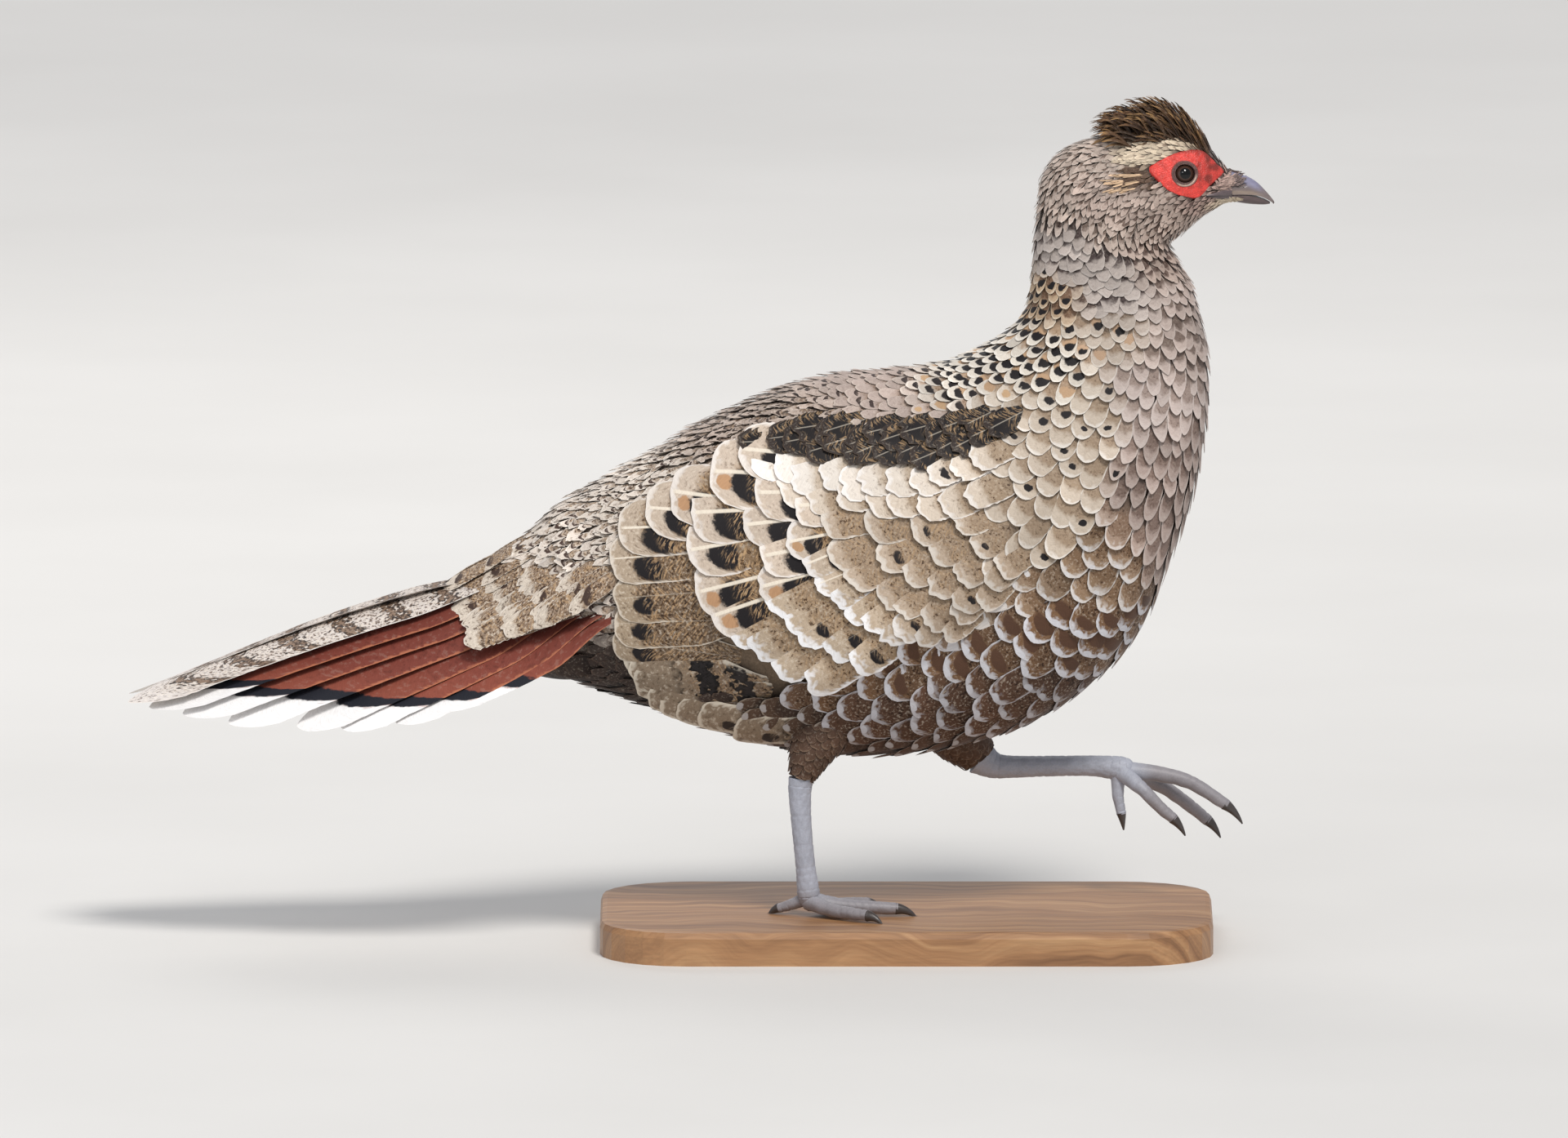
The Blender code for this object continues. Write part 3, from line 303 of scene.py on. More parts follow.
STYLES = {
    "crown": look((92, 64, 44), (56, 38, 28), 2.5, (132, 98, 66), 0.25, 0.4, 0.5, slim=1.0),
    "brow": look((196, 178, 152), (138, 120, 102), 3.0, (212, 197, 172), 0.25, 0.25, 0.5, slim=1.0),
    "lores": look((168, 140, 128), (96, 76, 70), 2.2, (186, 162, 148), 0.25, 0.3, 0.5, slim=1.0),
    "forehead": look((104, 88, 84), (62, 52, 50), 2.2, (140, 124, 118), 0.2, 0.3, 0.5, slim=1.0),
    "ear": look((84, 64, 50), (48, 36, 30), 3.5, (118, 94, 74), 0.2, 0.3, 0.5, slim=1.0),
    "cheek": look((168, 149, 136), (108, 90, 80), 3.4, (186, 169, 155), 0.3, 0.5, 0.9, slim=1.1),
    "nape": look((176, 158, 144), (112, 94, 82), 3.6, (192, 178, 164), 0.35, 0.7, 1.2, slim=1.15),
    "throat": look((172, 152, 138), (96, 77, 68), 3.2, (188, 170, 156), 0.3, 0.5, 0.8, slim=0.85),
    # The collar's very dark field shows in the gaps between its rows: darker feather bases deepened
    # into painted shade.
    "collar": look((172, 160, 150), (70, 58, 55), 4.9, (182, 171, 161), 0.9, 0.5, 1.1, slim=0.15),
    "neck": look((172, 155, 144), (108, 92, 82), 4.6, (184, 169, 158), 1.1, 0.4, 0.9, slim=0.55),
    "neck_back": look((178, 152, 122), (120, 92, 70), 4.0, (204, 186, 160), 0.7, 0.5, 0.6,
                      mark_chance=0.6, mark_at=(3.6, 1.4, 2.0, 0.4), slim=0.4),
    "neck_side": look((188, 173, 156), (150, 128, 106), 5.0, (208, 197, 182), 0.8, 0.4, 0.4,
                      mark_chance=0.3, mark_at=(4.0, 1.6, 1.9, 0.6), mark2=(176, 146, 118),
                      mark2_chance=0.4, mark2_at=(5.4, 2.2, 2.6, 0.0), slim=0.3),
    "mantle": look((206, 196, 180), (160, 134, 108), 6.0, (222, 214, 200), 0.9, 0.4, 0.4,
                   mark_chance=0.85, mark_at=(4.8, 2.0, 3.0, 0.8), mark2=(176, 144, 112),
                   mark2_chance=0.6, mark2_at=(6.4, 2.6, 3.6, 0.8), slim=0.3),
    "plain_mantle": look((176, 158, 146), (150, 130, 116), 7.0, (192, 176, 162), 0.6, 0.6, 0.6,
                         mark=(64, 52, 48), mark_chance=0.25, mark_at=(5.0, 1.0, 2.4, 0.0), vermi=0.15,
                         slim=0.4),
    "breast_top": look((186, 170, 160), (150, 132, 121), 5.5, (196, 182, 172), 2.0, 0.35, 0.7,
                       slim=0.6),
    "breast": look((164, 145, 134), (122, 102, 91), 5.6, (178, 162, 151), 2.1, 0.4, 0.7, slim=0.65),
    "shoulder": look((190, 175, 156), (150, 129, 106), 6.5, (216, 207, 194), 1.2, 0.4, 0.3,
                     mark_chance=0.3, mark_at=(5.6, 1.6, 1.9, 1.0), tip_spot=0.2, slim=0.2),
    "flank_top": look((142, 116, 90), (120, 94, 70), 6.0, (206, 198, 189), 2.2, 0.8, 0.8, tip_spot=0.45,
                      slim=0.1),
    "flank": look((116, 86, 60), (104, 78, 56), 7.5, (200, 197, 197), 2.5, 1.2, 0.9, tip_spot=0.72,
                  mark=(84, 58, 42), mark_chance=0.8, mark_at=(7.6, 2.8, 6.2, 0.0)),
    "flank_low": look((84, 59, 44), (78, 56, 42), 8.0, (172, 168, 168), 2.3, 1.1, 0.9, tip_spot=0.72),
    "belly": look((84, 62, 50), (64, 48, 40), 7.0, (150, 139, 129), 1.0, 0.5, 0.8, tip_spot=0.8),
    # The vent and the coverts under the tail: dark brown, made darker still by painted shade under the
    # tail.
    "vent": look((54, 42, 36), (40, 31, 28), 7.0, (78, 62, 52), 0.6, 0.5, 1.4, slim=0.7),
    "flank_rear": look((84, 64, 50), (62, 47, 38), 7.0, (150, 136, 120), 0.9, 0.6, 0.8, tip_spot=0.7,
                       slim=0.2),
    "back": look((168, 151, 137), (124, 107, 94), 4.4, (180, 165, 152), 0.4, 1.6, 2.2,
                 mark=(58, 46, 40), mark_chance=0.55, mark_at=(3.4, 0.8, 1.6, 0.0), vermi=0.25,
                 down=0.2, slim=1.15),
    "rump": look((210, 197, 182), (160, 143, 126), 4.6, (222, 211, 196), 0.5, 1.8, 2.4,
                 mark=(70, 54, 46), mark_chance=0.35, mark_at=(3.0, 0.7, 1.5, 0.0), vermi=0.3, down=0.2,
                 slim=1.15),
    "tail_root": look((208, 195, 180), (158, 140, 122), 5.0, (218, 207, 193), 0.6, 1.8, 2.4,
                      mark=(74, 56, 48), mark_chance=0.45, mark_at=(4.0, 0.9, 2.0, 0.0), vermi=0.4,
                      down=0.2, slim=1.05),
    "thigh": look((84, 62, 48), (62, 46, 38), 7.0, (112, 90, 72), 0.5, 0.5, 0.8, slim=0.8),
    "scapular": look((50, 41, 36), (22, 18, 19), 2.6, (72, 58, 46), 0.3, 0.5, 2.0, mark=(26, 22, 22),
                     mark_chance=0.8, mark_at=(8.0, 4.5, 4.0, 1.5), streak=0.35, vermi=0.55, down=0.1),
    "white": look((238, 229, 216), (204, 186, 163), 9.0, (244, 238, 230), 1.6, 0.5, 2.0, streak=0.1,
                  down=0.2),
    "cream": look((206, 190, 170), (160, 138, 113), 7.5, (228, 219, 207), 1.8, 0.8, 1.7,
                  mark_chance=0.12, mark_at=(7.5, 1.6, 3.2, 2.5)),
    "tan": look((182, 162, 140), (150, 128, 104), 6.0, (212, 201, 186), 1.9, 0.8, 1.4,
                mark=(40, 34, 32), mark_chance=0.35, mark_at=(8.0, 1.8, 2.8, 2.0), streak=0.15,
                vermi=0.45),
    "tertial": look((196, 178, 158), (126, 102, 76), 12.0, (224, 214, 202), 2.2, 1.1, 1.1,
                    side_edge=2.4, mark_chance=1.0, mark_at=(16.0, 7.4, 7.2, 5.6),
                    mark2=(180, 139, 102), mark2_chance=0.65, mark2_at=(6.2, 3.0, 3.2, 4.4), streak=1.6,
                    vermi=0.9, down=0.2),
    "greater": look((186, 166, 141), (150, 127, 101), 10.0, (236, 233, 229), 3.2, 1.1, 1.5,
                    side_edge=2.6, mark_chance=0.4, mark_at=(11.5, 2.4, 4.2, 3.4), streak=0.25,
                    vermi=0.4, down=0.3),
    "secondary": look((138, 120, 99), (120, 100, 80), 27.0, (208, 196, 176), 1.5, 1.4, 0.8,
                      side_edge=1.0, mark=(44, 36, 32), mark_chance=0.5, mark_at=(16.0, 3.4, 2.6, 3.2),
                      bar=(34, 30, 30), bar_strength=1.0, bar_period=17.0, bar_share=0.55, down=0.2,
                      vermi=0.6),
    "olive": look((158, 139, 115), (108, 88, 68), 9.0, (200, 187, 168), 1.1, 1.5, 0.9, side_edge=2.0,
                  mark_chance=1.0, mark_at=(12.5, 4.6, 4.0, 4.2), streak=0.3, vermi=0.7, down=0.2),
    "lesser": look((174, 154, 132), (146, 125, 102), 5.5, (208, 198, 184), 1.9, 0.8, 1.4,
                   mark_chance=0.15, mark_at=(6.0, 1.3, 2.0, 1.4), vermi=0.2),
    "central": look((218, 208, 198), (208, 197, 186), 14.0, (226, 217, 206), 0.6, 3.0, 1.2,
                    side_edge=1.3, bar=(132, 106, 84), bar_strength=0.95, bar_period=24.0,
                    bar_share=0.42, streak=0.2, vermi=0.2, down=0.1),
    "outer": look((134, 70, 54), (118, 57, 45), 60.0, (172, 104, 74), 0.9, 0.25, 0.7, side_edge=1.0,
                  mark=(30, 31, 38), mark_chance=1.0, mark_at=(27.0, 5.5, 30.0, 0.0),
                  mark2=(238, 234, 228), mark2_chance=1.0, mark2_at=(3.0, 20.5, 34.0, 0.0), down=0.1,
                  slant=0.7),
    "covert": look((200, 186, 168), (140, 118, 97), 6.0, (210, 198, 182), 0.5, 2.4, 2.2,
                   mark=(66, 49, 41), mark_chance=0.6, mark_at=(7.5, 1.8, 4.0, 0.0), streak=0.1,
                   vermi=0.6, down=0.3),
    "crest": look((84, 56, 36), (46, 31, 22), 5.0, (108, 78, 50), 0.15, 0.3, 0.4, down=0.3),
    "crest_pale": look((146, 112, 70), (88, 62, 40), 4.5, (168, 136, 92), 0.15, 0.3, 0.4, down=0.3),
    "ear_hair": look((200, 168, 134), (160, 122, 90), 8.0, (212, 180, 142), 0.12, 0.4, 0.3),
}
STYLE_KEYS = tuple(STYLES["crown"])

# Regions of the small plumage, seen from the side: style, centre x, z, reach x, z, spacing.
REGIONS = (
    ("crown", 108, 366, 20, 7, 2.3), ("crown", 128, 358, 6, 4, 2.0), ("nape", 74, 352, 13, 9, 2.7),
    ("forehead", 137, 349, 5, 4, 1.8), ("lores", 140, 341, 4, 5, 1.8),
    ("brow", 137, 328.5, 7, 2.0, 1.8), ("brow", 114, 354.5, 15, 3.6, 2.2), ("brow", 99, 351, 7, 3, 2.3),
    ("nape", 86, 347, 9, 6, 2.6), ("cheek", 82, 338, 10, 8, 2.7), ("ear", 102, 345.4, 6, 1.0, 2.0),
    ("ear", 108.5, 339, 1.8, 3.0, 2.0), ("ear", 99, 340.5, 7, 2.6, 2.2),
    ("cheek", 108, 328, 16, 8, 2.4), ("cheek", 92, 328, 10, 7, 2.8), ("lores", 128, 329, 8, 4, 2.1),
    ("nape", 66, 334, 10, 14, 2.9), ("throat", 124, 320, 14, 8, 2.4), ("nape", 90, 318, 12, 6, 3.6),
    ("throat", 108, 311, 14, 7, 3.4), ("collar", 70, 315, 11, 5, 5.8), ("collar", 82, 304, 18, 6, 6.4),
    ("throat", 112, 303, 12, 7, 4.4), ("collar", 92, 291, 20, 8, 6.8), ("neck", 118, 291, 14, 9, 5.6),
    ("neck_back", 64, 290, 12, 10, 5.4), ("neck_side", 88, 274, 16, 9, 6.8),
    ("neck", 122, 268, 18, 16, 6.6), ("mantle", 60, 266, 16, 12, 6.2), ("mantle", 30, 256, 16, 9, 6.0),
    ("mantle", 72, 254, 9, 7, 7.4), ("breast_top", 114, 248, 22, 16, 7.2),
    ("shoulder", 82, 242, 12, 14, 8.0), ("breast", 122, 212, 20, 24, 8.0),
    ("breast", 116, 184, 16, 14, 8.8), ("shoulder", 60, 222, 18, 18, 9.6),
    ("shoulder", 56, 196, 16, 14, 10.4), ("shoulder", 50, 242, 14, 8, 8.2),
    ("flank_top", 88, 176, 16, 12, 11.0), ("flank_top", 44, 164, 16, 9, 11.6),
    ("flank", 78, 146, 26, 11, 13.0), ("flank", 20, 134, 26, 9, 14.0), ("flank", -16, 122, 16, 8, 14.0),
    ("flank_low", 50, 116, 30, 10, 13.2), ("flank_low", 4, 106, 28, 10, 13.4),
    ("belly", -10, 86, 50, 8, 11.0), ("flank_rear", -62, 98, 26, 8, 9.5),
    ("vent", -130, 120, 36, 14, 6.4), ("plain_mantle", -20, 249, 36, 8, 6.0),
    ("mantle", 14, 249, 12, 5, 6.2), ("back", -54, 244, 26, 10, 4.3), ("back", -84, 230, 26, 12, 4.3),
    ("rump", -112, 206, 24, 20, 4.4), ("rump", -126, 178, 16, 20, 4.7),
    ("tail_root", -162, 170, 28, 20, 5.2), ("tail_root", -146, 146, 14, 8, 5.2),
    ("shoulder", -30, 180, 60, 30, 10.0),
)


def linear_style(name):
    """A style's values as one flat dictionary of numbers, colours in linear light."""
    made = {}
    for key, value in STYLES[name].items():
        if isinstance(value, tuple) and len(value) == 3:
            made[key] = srgb(*value) * CAST
        else:
            made[key] = np.atleast_1d(np.array(value, float))
    return made


LINEAR = {name: linear_style(name) for name in STYLES}
REGION_PLACE = np.array([row[1:] for row in REGIONS], float)
REGION_STYLE = {key: np.array([LINEAR[row[0]][key] for row in REGIONS]) for key in STYLE_KEYS}


def plumage_at(x, z):
    """The style's values at side places, blended between the regions, and the feather spacing."""
    dx = (x[:, None] - REGION_PLACE[:, 0]) / REGION_PLACE[:, 2]
    dz = (z[:, None] - REGION_PLACE[:, 1]) / REGION_PLACE[:, 3]
    near = -(dx**2 + dz**2)
    weight = np.exp(2.0 * (near - near.max(axis=1, keepdims=True)))
    weight /= weight.sum(axis=1, keepdims=True)
    fields = {key: weight @ values for key, values in REGION_STYLE.items()}
    fields["spacing"] = weight @ REGION_PLACE[:, 4]
    return fields


def row_style(first, last, share):
    """Style values along a row of feathers, from one style to another."""
    part = share[:, None]
    return {key: LINEAR[first][key] * (1 - part) + LINEAR[last][key] * part for key in STYLE_KEYS}


# The face: outline of the bare red skin round the eye, (x, z) seen from the side.
FACE_OUTLINE = (
    (139.8, 342.6), (136.2, 347.4), (130.0, 352.8), (121.8, 353.2), (113.0, 350.2), (106.0, 345.6),
    (110.0, 340.6), (114.8, 336.0), (121.6, 333.2), (128.6, 332.4), (134.2, 338.0),
)


def face_gap(x, z):
    """Distance inside the bare skin of the face, negative outside."""
    return side_distance(x, z, FACE_OUTLINE)


# Spreading the roots: how many more are dropped than fit, how many rounds they push each other
# apart, how many neighbours push, up to which gap in spacings, and how strongly.
MORE_ROOTS = 1.08
ROUNDS = 14
NEIGHBOURS = 8
PUSH_REACH = 1.25
PUSH = 0.28


def scatter(surface, spacing_of, stretch, keep, mirror=True):
    """Feather roots spread evenly over a surface, on the right side only where it is mirrored."""
    quads = surface.points[surface.quads]
    centre = quads.mean(axis=1)
    crossed = np.cross(quads[:, 2] - quads[:, 0], quads[:, 3] - quads[:, 1])
    area = np.linalg.norm(crossed, axis=1) / 2
    spacing = spacing_of(centre)
    density = area / (spacing**2 * stretch) * keep(centre)
    if mirror:
        density = density * (centre[:, 1] < 0)
    count = int(density.sum() * MORE_ROOTS)
    chosen = RNG.choice(len(density), count, p=density / density.sum())
    share = RNG.random((count, 2))
    a, b, c, d = (quads[chosen, k] for k in range(4))
    u, v = share[:, :1], share[:, 1:]
    roots = (a * (1 - u) + b * u) * (1 - v) + (d * (1 - u) + c * u) * v
    for _ in range(ROUNDS):
        roots, normal, lie = surface.nearest(roots)[:3]
        reach = spacing_of(roots)
        crowd = np.vstack([roots, roots * (1, -1, 1)]) if mirror else roots
        tree = KDTree(len(crowd))
        for n, p in enumerate(crowd.tolist()):
            tree.insert(p, n)
        tree.balance()
        found = [tree.find_n(p, NEIGHBOURS + 1)[1:] for p in roots.tolist()]
        near = np.array([[hit[1] for hit in hits] for hits in found])
        way = roots[:, None] - crowd[near]
        along = (way * lie[:, None]).sum(axis=2) / stretch
        across = (way * np.cross(normal, lie)[:, None]).sum(axis=2)
        gap = np.sqrt(along**2 + across**2) / reach[:, None]
        push = np.clip(PUSH_REACH - gap, 0, 1) * reach[:, None] * PUSH
        step = (push / np.maximum(gap * reach[:, None], 1e-3))[..., None] * way
        roots = roots + step.sum(axis=1)
    roots = surface.nearest(roots)[0]
    good = keep(roots) > 0.5
    if mirror:
        good &= roots[:, 1] < 0.3
    return roots[good]


class Vanes:
    """A batch of feathers of one mesh density, each a thin closed lens with a cambered face."""

    ATTRIBUTES = (
        "dims", "base", "field", "edge", "mark", "mark_at", "mark2", "mark2_at", "bar", "bar_at", "ctl",
    )

    def __init__(self, rows, cols):
        self.rows, self.cols = rows, cols
        self.points, self.values, self.patches = [], [], []
        self.u = np.linspace(0, 1, rows)
        self.v = np.linspace(-1, 1, cols)

    def outline(self, length, width, loose, tip=0.5, power=(2.3, 2.0), root=0.45, fill=0.5,
                taper=0.0):
        """Places along and across each feather, in mm; tip and power may differ feather by feather."""
        n = len(length)
        u, v = self.u[None, :, None], self.v[None, None, :]
        bend, close, reach = (np.reshape(value, (-1, 1, 1)) for value in (*power, tip))
        arc = 1 - np.maximum(1 - np.abs(v) ** bend, 0) ** (1 / close)
        depth = np.minimum(reach * width[:, None, None], 0.6 * length[:, None, None])
        along = length[:, None, None] * u - depth * arc * u**2
        swell = (root + (1 - root) * smooth(u, 0.0, fill)) * (1 - taper * smooth(u, 0.5, 1.0))
        across = width[:, None, None] / 2 * v * swell
        torn = RNG.normal(0, RAGGED, (n, 1, self.cols + 2))
        torn = (torn[..., :-2] + 2 * torn[..., 1:-1] + torn[..., 2:]) / 2.5
        ragged = torn * loose[:, None, None] * smooth(u, 0.7, 1.0)
        side = RNG.normal(0, RAGGED, (n, self.rows, 1)) * loose[:, None, None] * 0.3
        return along + ragged, across + side * v * smooth(u, 0.3, 0.9)

    def heights(self, along, length, width, lift, camber, shingle):
        """How far each point stands off the surface below."""
        share = np.clip(along / length[:, None, None], 0, 1)
        v = self.v[None, None, :]
        low, high = (value[:, None, None] for value in lift)
        wide = width[:, None, None]
        dome = camber * wide * (1 - v**2) * (0.35 + 0.65 * smooth(share, 0, 0.2))
        return low + (high - low) * share**0.8 + dome + shingle * wide * v * share

    def stand(self, place, out, rise):
        """Adds points that stand off places on a surface."""
        shape = (*rise.shape, 3)
        self.points.append(place.reshape(shape) + out.reshape(shape) * rise[..., None])

    def add_on(self, surface, start, lie, normal, length, width, lift, style, patch, camber=0.045,
               shingle=0.0, **shape):
        """Feathers laid on a surface from their roots; lift is (root, tip) in mm."""
        along, across = self.outline(length, width, style["loose"], **shape)
        cross = unit(np.cross(normal, lie))
        target = start[:, None, None] + along[..., None] * lie[:, None, None]
        target = target + across[..., None] * cross[:, None, None]
        rise = self.heights(along, length, width, lift, camber, shingle)
        self.stand(*surface.nearest(target)[:2], rise)
        self.store(length, width, style, patch)

    def add_side(self, surface, ends, degrees, length, width, lift, style, patch, camber=0.045,
                 shingle=0.0, **shape):
        """Feathers placed by their ends (x, z) as seen from the right side of the bird."""
        along, across = self.outline(length, width, style["loose"], **shape)
        turn = np.radians(degrees)
        way = np.stack([-np.cos(turn), -np.sin(turn)], axis=1)
        down = np.stack([np.sin(turn), -np.cos(turn)], axis=1)
        back = (along - length[:, None, None])[..., None]
        flat = ends[:, None, None] + back * way[:, None, None]
        flat = flat + across[..., None] * down[:, None, None]
        rise = self.heights(along, length, width, lift, camber, shingle)
        self.stand(*on_side(surface, flat.reshape(-1, 2)), rise)
        self.store(length, width, style, patch)

    def add_free(self, spine, cross, normal, length, width, style, patch, camber=0.045, shingle=0.0,
                 **shape):
        """Feathers along free shafts: spine (n, rows, 3); cross and normal (n, 3)."""
        along, across = self.outline(length, width, style["loose"], **shape)
        share = np.clip(along / length[:, None, None], 0, 1.02) * (self.rows - 1)
        index = np.clip(np.floor(share).astype(int), 0, self.rows - 2)
        part = (share - index)[..., None]
        which = np.arange(len(length))[:, None, None]
        centre = spine[which, index] * (1 - part) + spine[which, index + 1] * part
        v = self.v[None, None, :]
        wide = width[:, None, None]
        out = camber * wide * (1 - v**2) + shingle * wide * v
        aside = across[..., None] * cross[:, None, None]
        self.points.append(centre + aside + out[..., None] * normal[:, None, None])
        self.store(length, width, style, patch)

    def store(self, length, width, style, patch):
        """Keeps what the feathers added last look like."""
        n = len(length)
        values = dict(style)
        values["dims"] = np.column_stack([length, width, RNG.random(n), style["slant"]])
        self.values.append({name: np.asarray(values[name], float) for name in self.ATTRIBUTES})
        self.patches.append(patch)

    def faces(self):
        """Triangles of one feather: a gridded face, a plain back and two end caps."""
        rows, cols = self.rows, self.cols
        made = []
        for i in range(rows - 1):
            for j in range(cols - 1):
                a, b = i * cols + j, i * cols + j + 1
                made += [(a, b + cols, b), (a, a + cols, b + cols)]
            left, right = i * cols, i * cols + cols - 1
            made += [(left, right + cols, left + cols), (left, right, right + cols)]
        last = (rows - 1) * cols
        made += [(0, j, j + 1) for j in range(1, cols - 1)]
        made += [(last, last + j + 1, last + j) for j in range(1, cols - 1)]
        return np.array(made)

    def build(self, name, nodes=(), mirror=False):
        """The batch as one joined object, on the right side or mirrored to the left."""
        points = np.concatenate(self.points)
        count = len(points)
        per = self.rows * self.cols
        faces = self.faces()
        local = np.meshgrid(self.u, (self.v + 1) / 2, indexing="ij")
        local = np.stack([axis.ravel() for axis in local], axis=1)
        if mirror:
            points = points * (1, -1, 1)
            faces = faces[:, ::-1]
        every = (faces[None] + (np.arange(count) * per)[:, None, None]).reshape(-1, 3)
        obj = mesh_object(name, points.reshape(-1, 3), every, PLUMAGE)
        mesh = obj.data
        corner_uv = local[faces.ravel()]
        layer = mesh.uv_layers.new(name="OFBake")
        patch = np.concatenate(self.patches)
        bake = patch[:, None, :2] + corner_uv[None] * patch[:, None, 2:4]
        layer.data.foreach_set("uv", bake.ravel().astype(np.float32))
        layer = mesh.uv_layers.new(name="fuv")
        layer.data.foreach_set("uv", np.tile(corner_uv, (count, 1)).ravel().astype(np.float32))
        for attribute in self.ATTRIBUTES:
            data = np.concatenate([block[attribute] for block in self.values])
            colour_points(mesh, attribute, np.repeat(data, per, axis=0))
        dress(obj, nodes)
        return obj


def on_side(surface, flat, guess=-25.0):
    """Places and normals of (x, z) points seen from the right side."""
    depth = np.full(len(flat), guess)
    for _ in range(5):
        query = np.column_stack([flat[:, 0], depth, flat[:, 1]])
        place, normal = surface.nearest(query)[:2]
        slant = ((query - place) * normal * (1, 0, 1)).sum(axis=1) / np.minimum(normal[:, 1], -0.25)
        depth = np.clip(place[:, 1] - np.clip(slant, -8, 8), -90.0, -0.5)
    return place, normal


def colour_points(mesh, name, values):
    """Stores four numbers per vertex under a name."""
    made = mesh.attributes.new(name, "FLOAT_COLOR", "POINT")
    made.data.foreach_set("color", values.ravel().astype(np.float32))


def link(name, data):
    """A new object that is part of the scene."""
    obj = bpy.data.objects.new(name, data)
    bpy.context.scene.collection.objects.link(obj)
    return obj


def mesh_object(name, points, triangles, material):
    """A joined triangle mesh from arrays in millimetres, shaded smooth."""
    mesh = bpy.data.meshes.new(name)
    points = np.asarray(points, float) * MM
    triangles = np.asarray(triangles)
    mesh.vertices.add(len(points))
    mesh.vertices.foreach_set("co", points.ravel().astype(np.float32))
    mesh.loops.add(triangles.size)
    mesh.loops.foreach_set("vertex_index", triangles.ravel().astype(np.int32))
    mesh.polygons.add(len(triangles))
    mesh.polygons.foreach_set("loop_start", np.arange(len(triangles), dtype=np.int32) * 3)
    mesh.update(calc_edges=True)
    mesh.validate()
    mesh.shade_smooth()
    mesh.set_sharp_from_angle(angle=SHARP_EDGE)
    mesh.materials.append(material)
    return link(name, mesh)


def grid_faces(rows, cols, wrap_rows=False):
    """Two triangles for each quad of grid_quads."""
    quads = grid_quads(rows, cols, wrap_rows)
    return np.concatenate([quads[:, [0, 1, 2]], quads[:, [0, 2, 3]]])


def outward(points, faces):
    """The faces turned so that the mesh encloses a positive volume."""
    corners = points[faces]
    volume = np.einsum("ij,ij->", corners[:, 0], np.cross(corners[:, 1], corners[:, 2]))
    return faces if volume > 0 else faces[:, ::-1]


def capped(grid):
    """Points and triangles of a tube over a grid (rows, cols, 3), closed at both ends."""
    rows, cols = grid.shape[:2]
    points = np.vstack([grid.reshape(-1, 3), grid[0].mean(axis=0), grid[-1].mean(axis=0)])
    j = np.arange(cols)
    k = (j + 1) % cols
    top = (rows - 1) * cols
    first, last = np.full(cols, rows * cols), np.full(cols, rows * cols + 1)
    caps = [np.stack([first, k, j], axis=1), np.stack([last, top + j, top + k], axis=1)]
    return points, np.concatenate([grid_faces(rows, cols)] + caps)


def solids(name, grids, material, nodes=(), ring=False, colour=None):
    """Tubes over grids as one object: capped, or closed on themselves as rings if asked."""
    points, faces, count = [], [], 0
    for grid in grids:
        if ring:
            body, part = grid.reshape(-1, 3), grid_faces(*grid.shape[:2], wrap_rows=True)
        else:
            body, part = capped(grid)
        points.append(body)
        faces.append(outward(body - body.mean(axis=0), part) + count)
        count += len(body)
    points = np.vstack(points)
    obj = mesh_object(name, points, np.vstack(faces), material)
    if colour is not None:
        colour_points(obj.data, "tint", np.column_stack([colour(points), np.ones(len(points))]))
    dress(obj, nodes)
    return obj


def dress(obj, nodes=()):
    """Parents the object to the body it moves with and hides the nodes it stands for."""
    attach(obj, BODY)
    if nodes:
        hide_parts(*nodes)


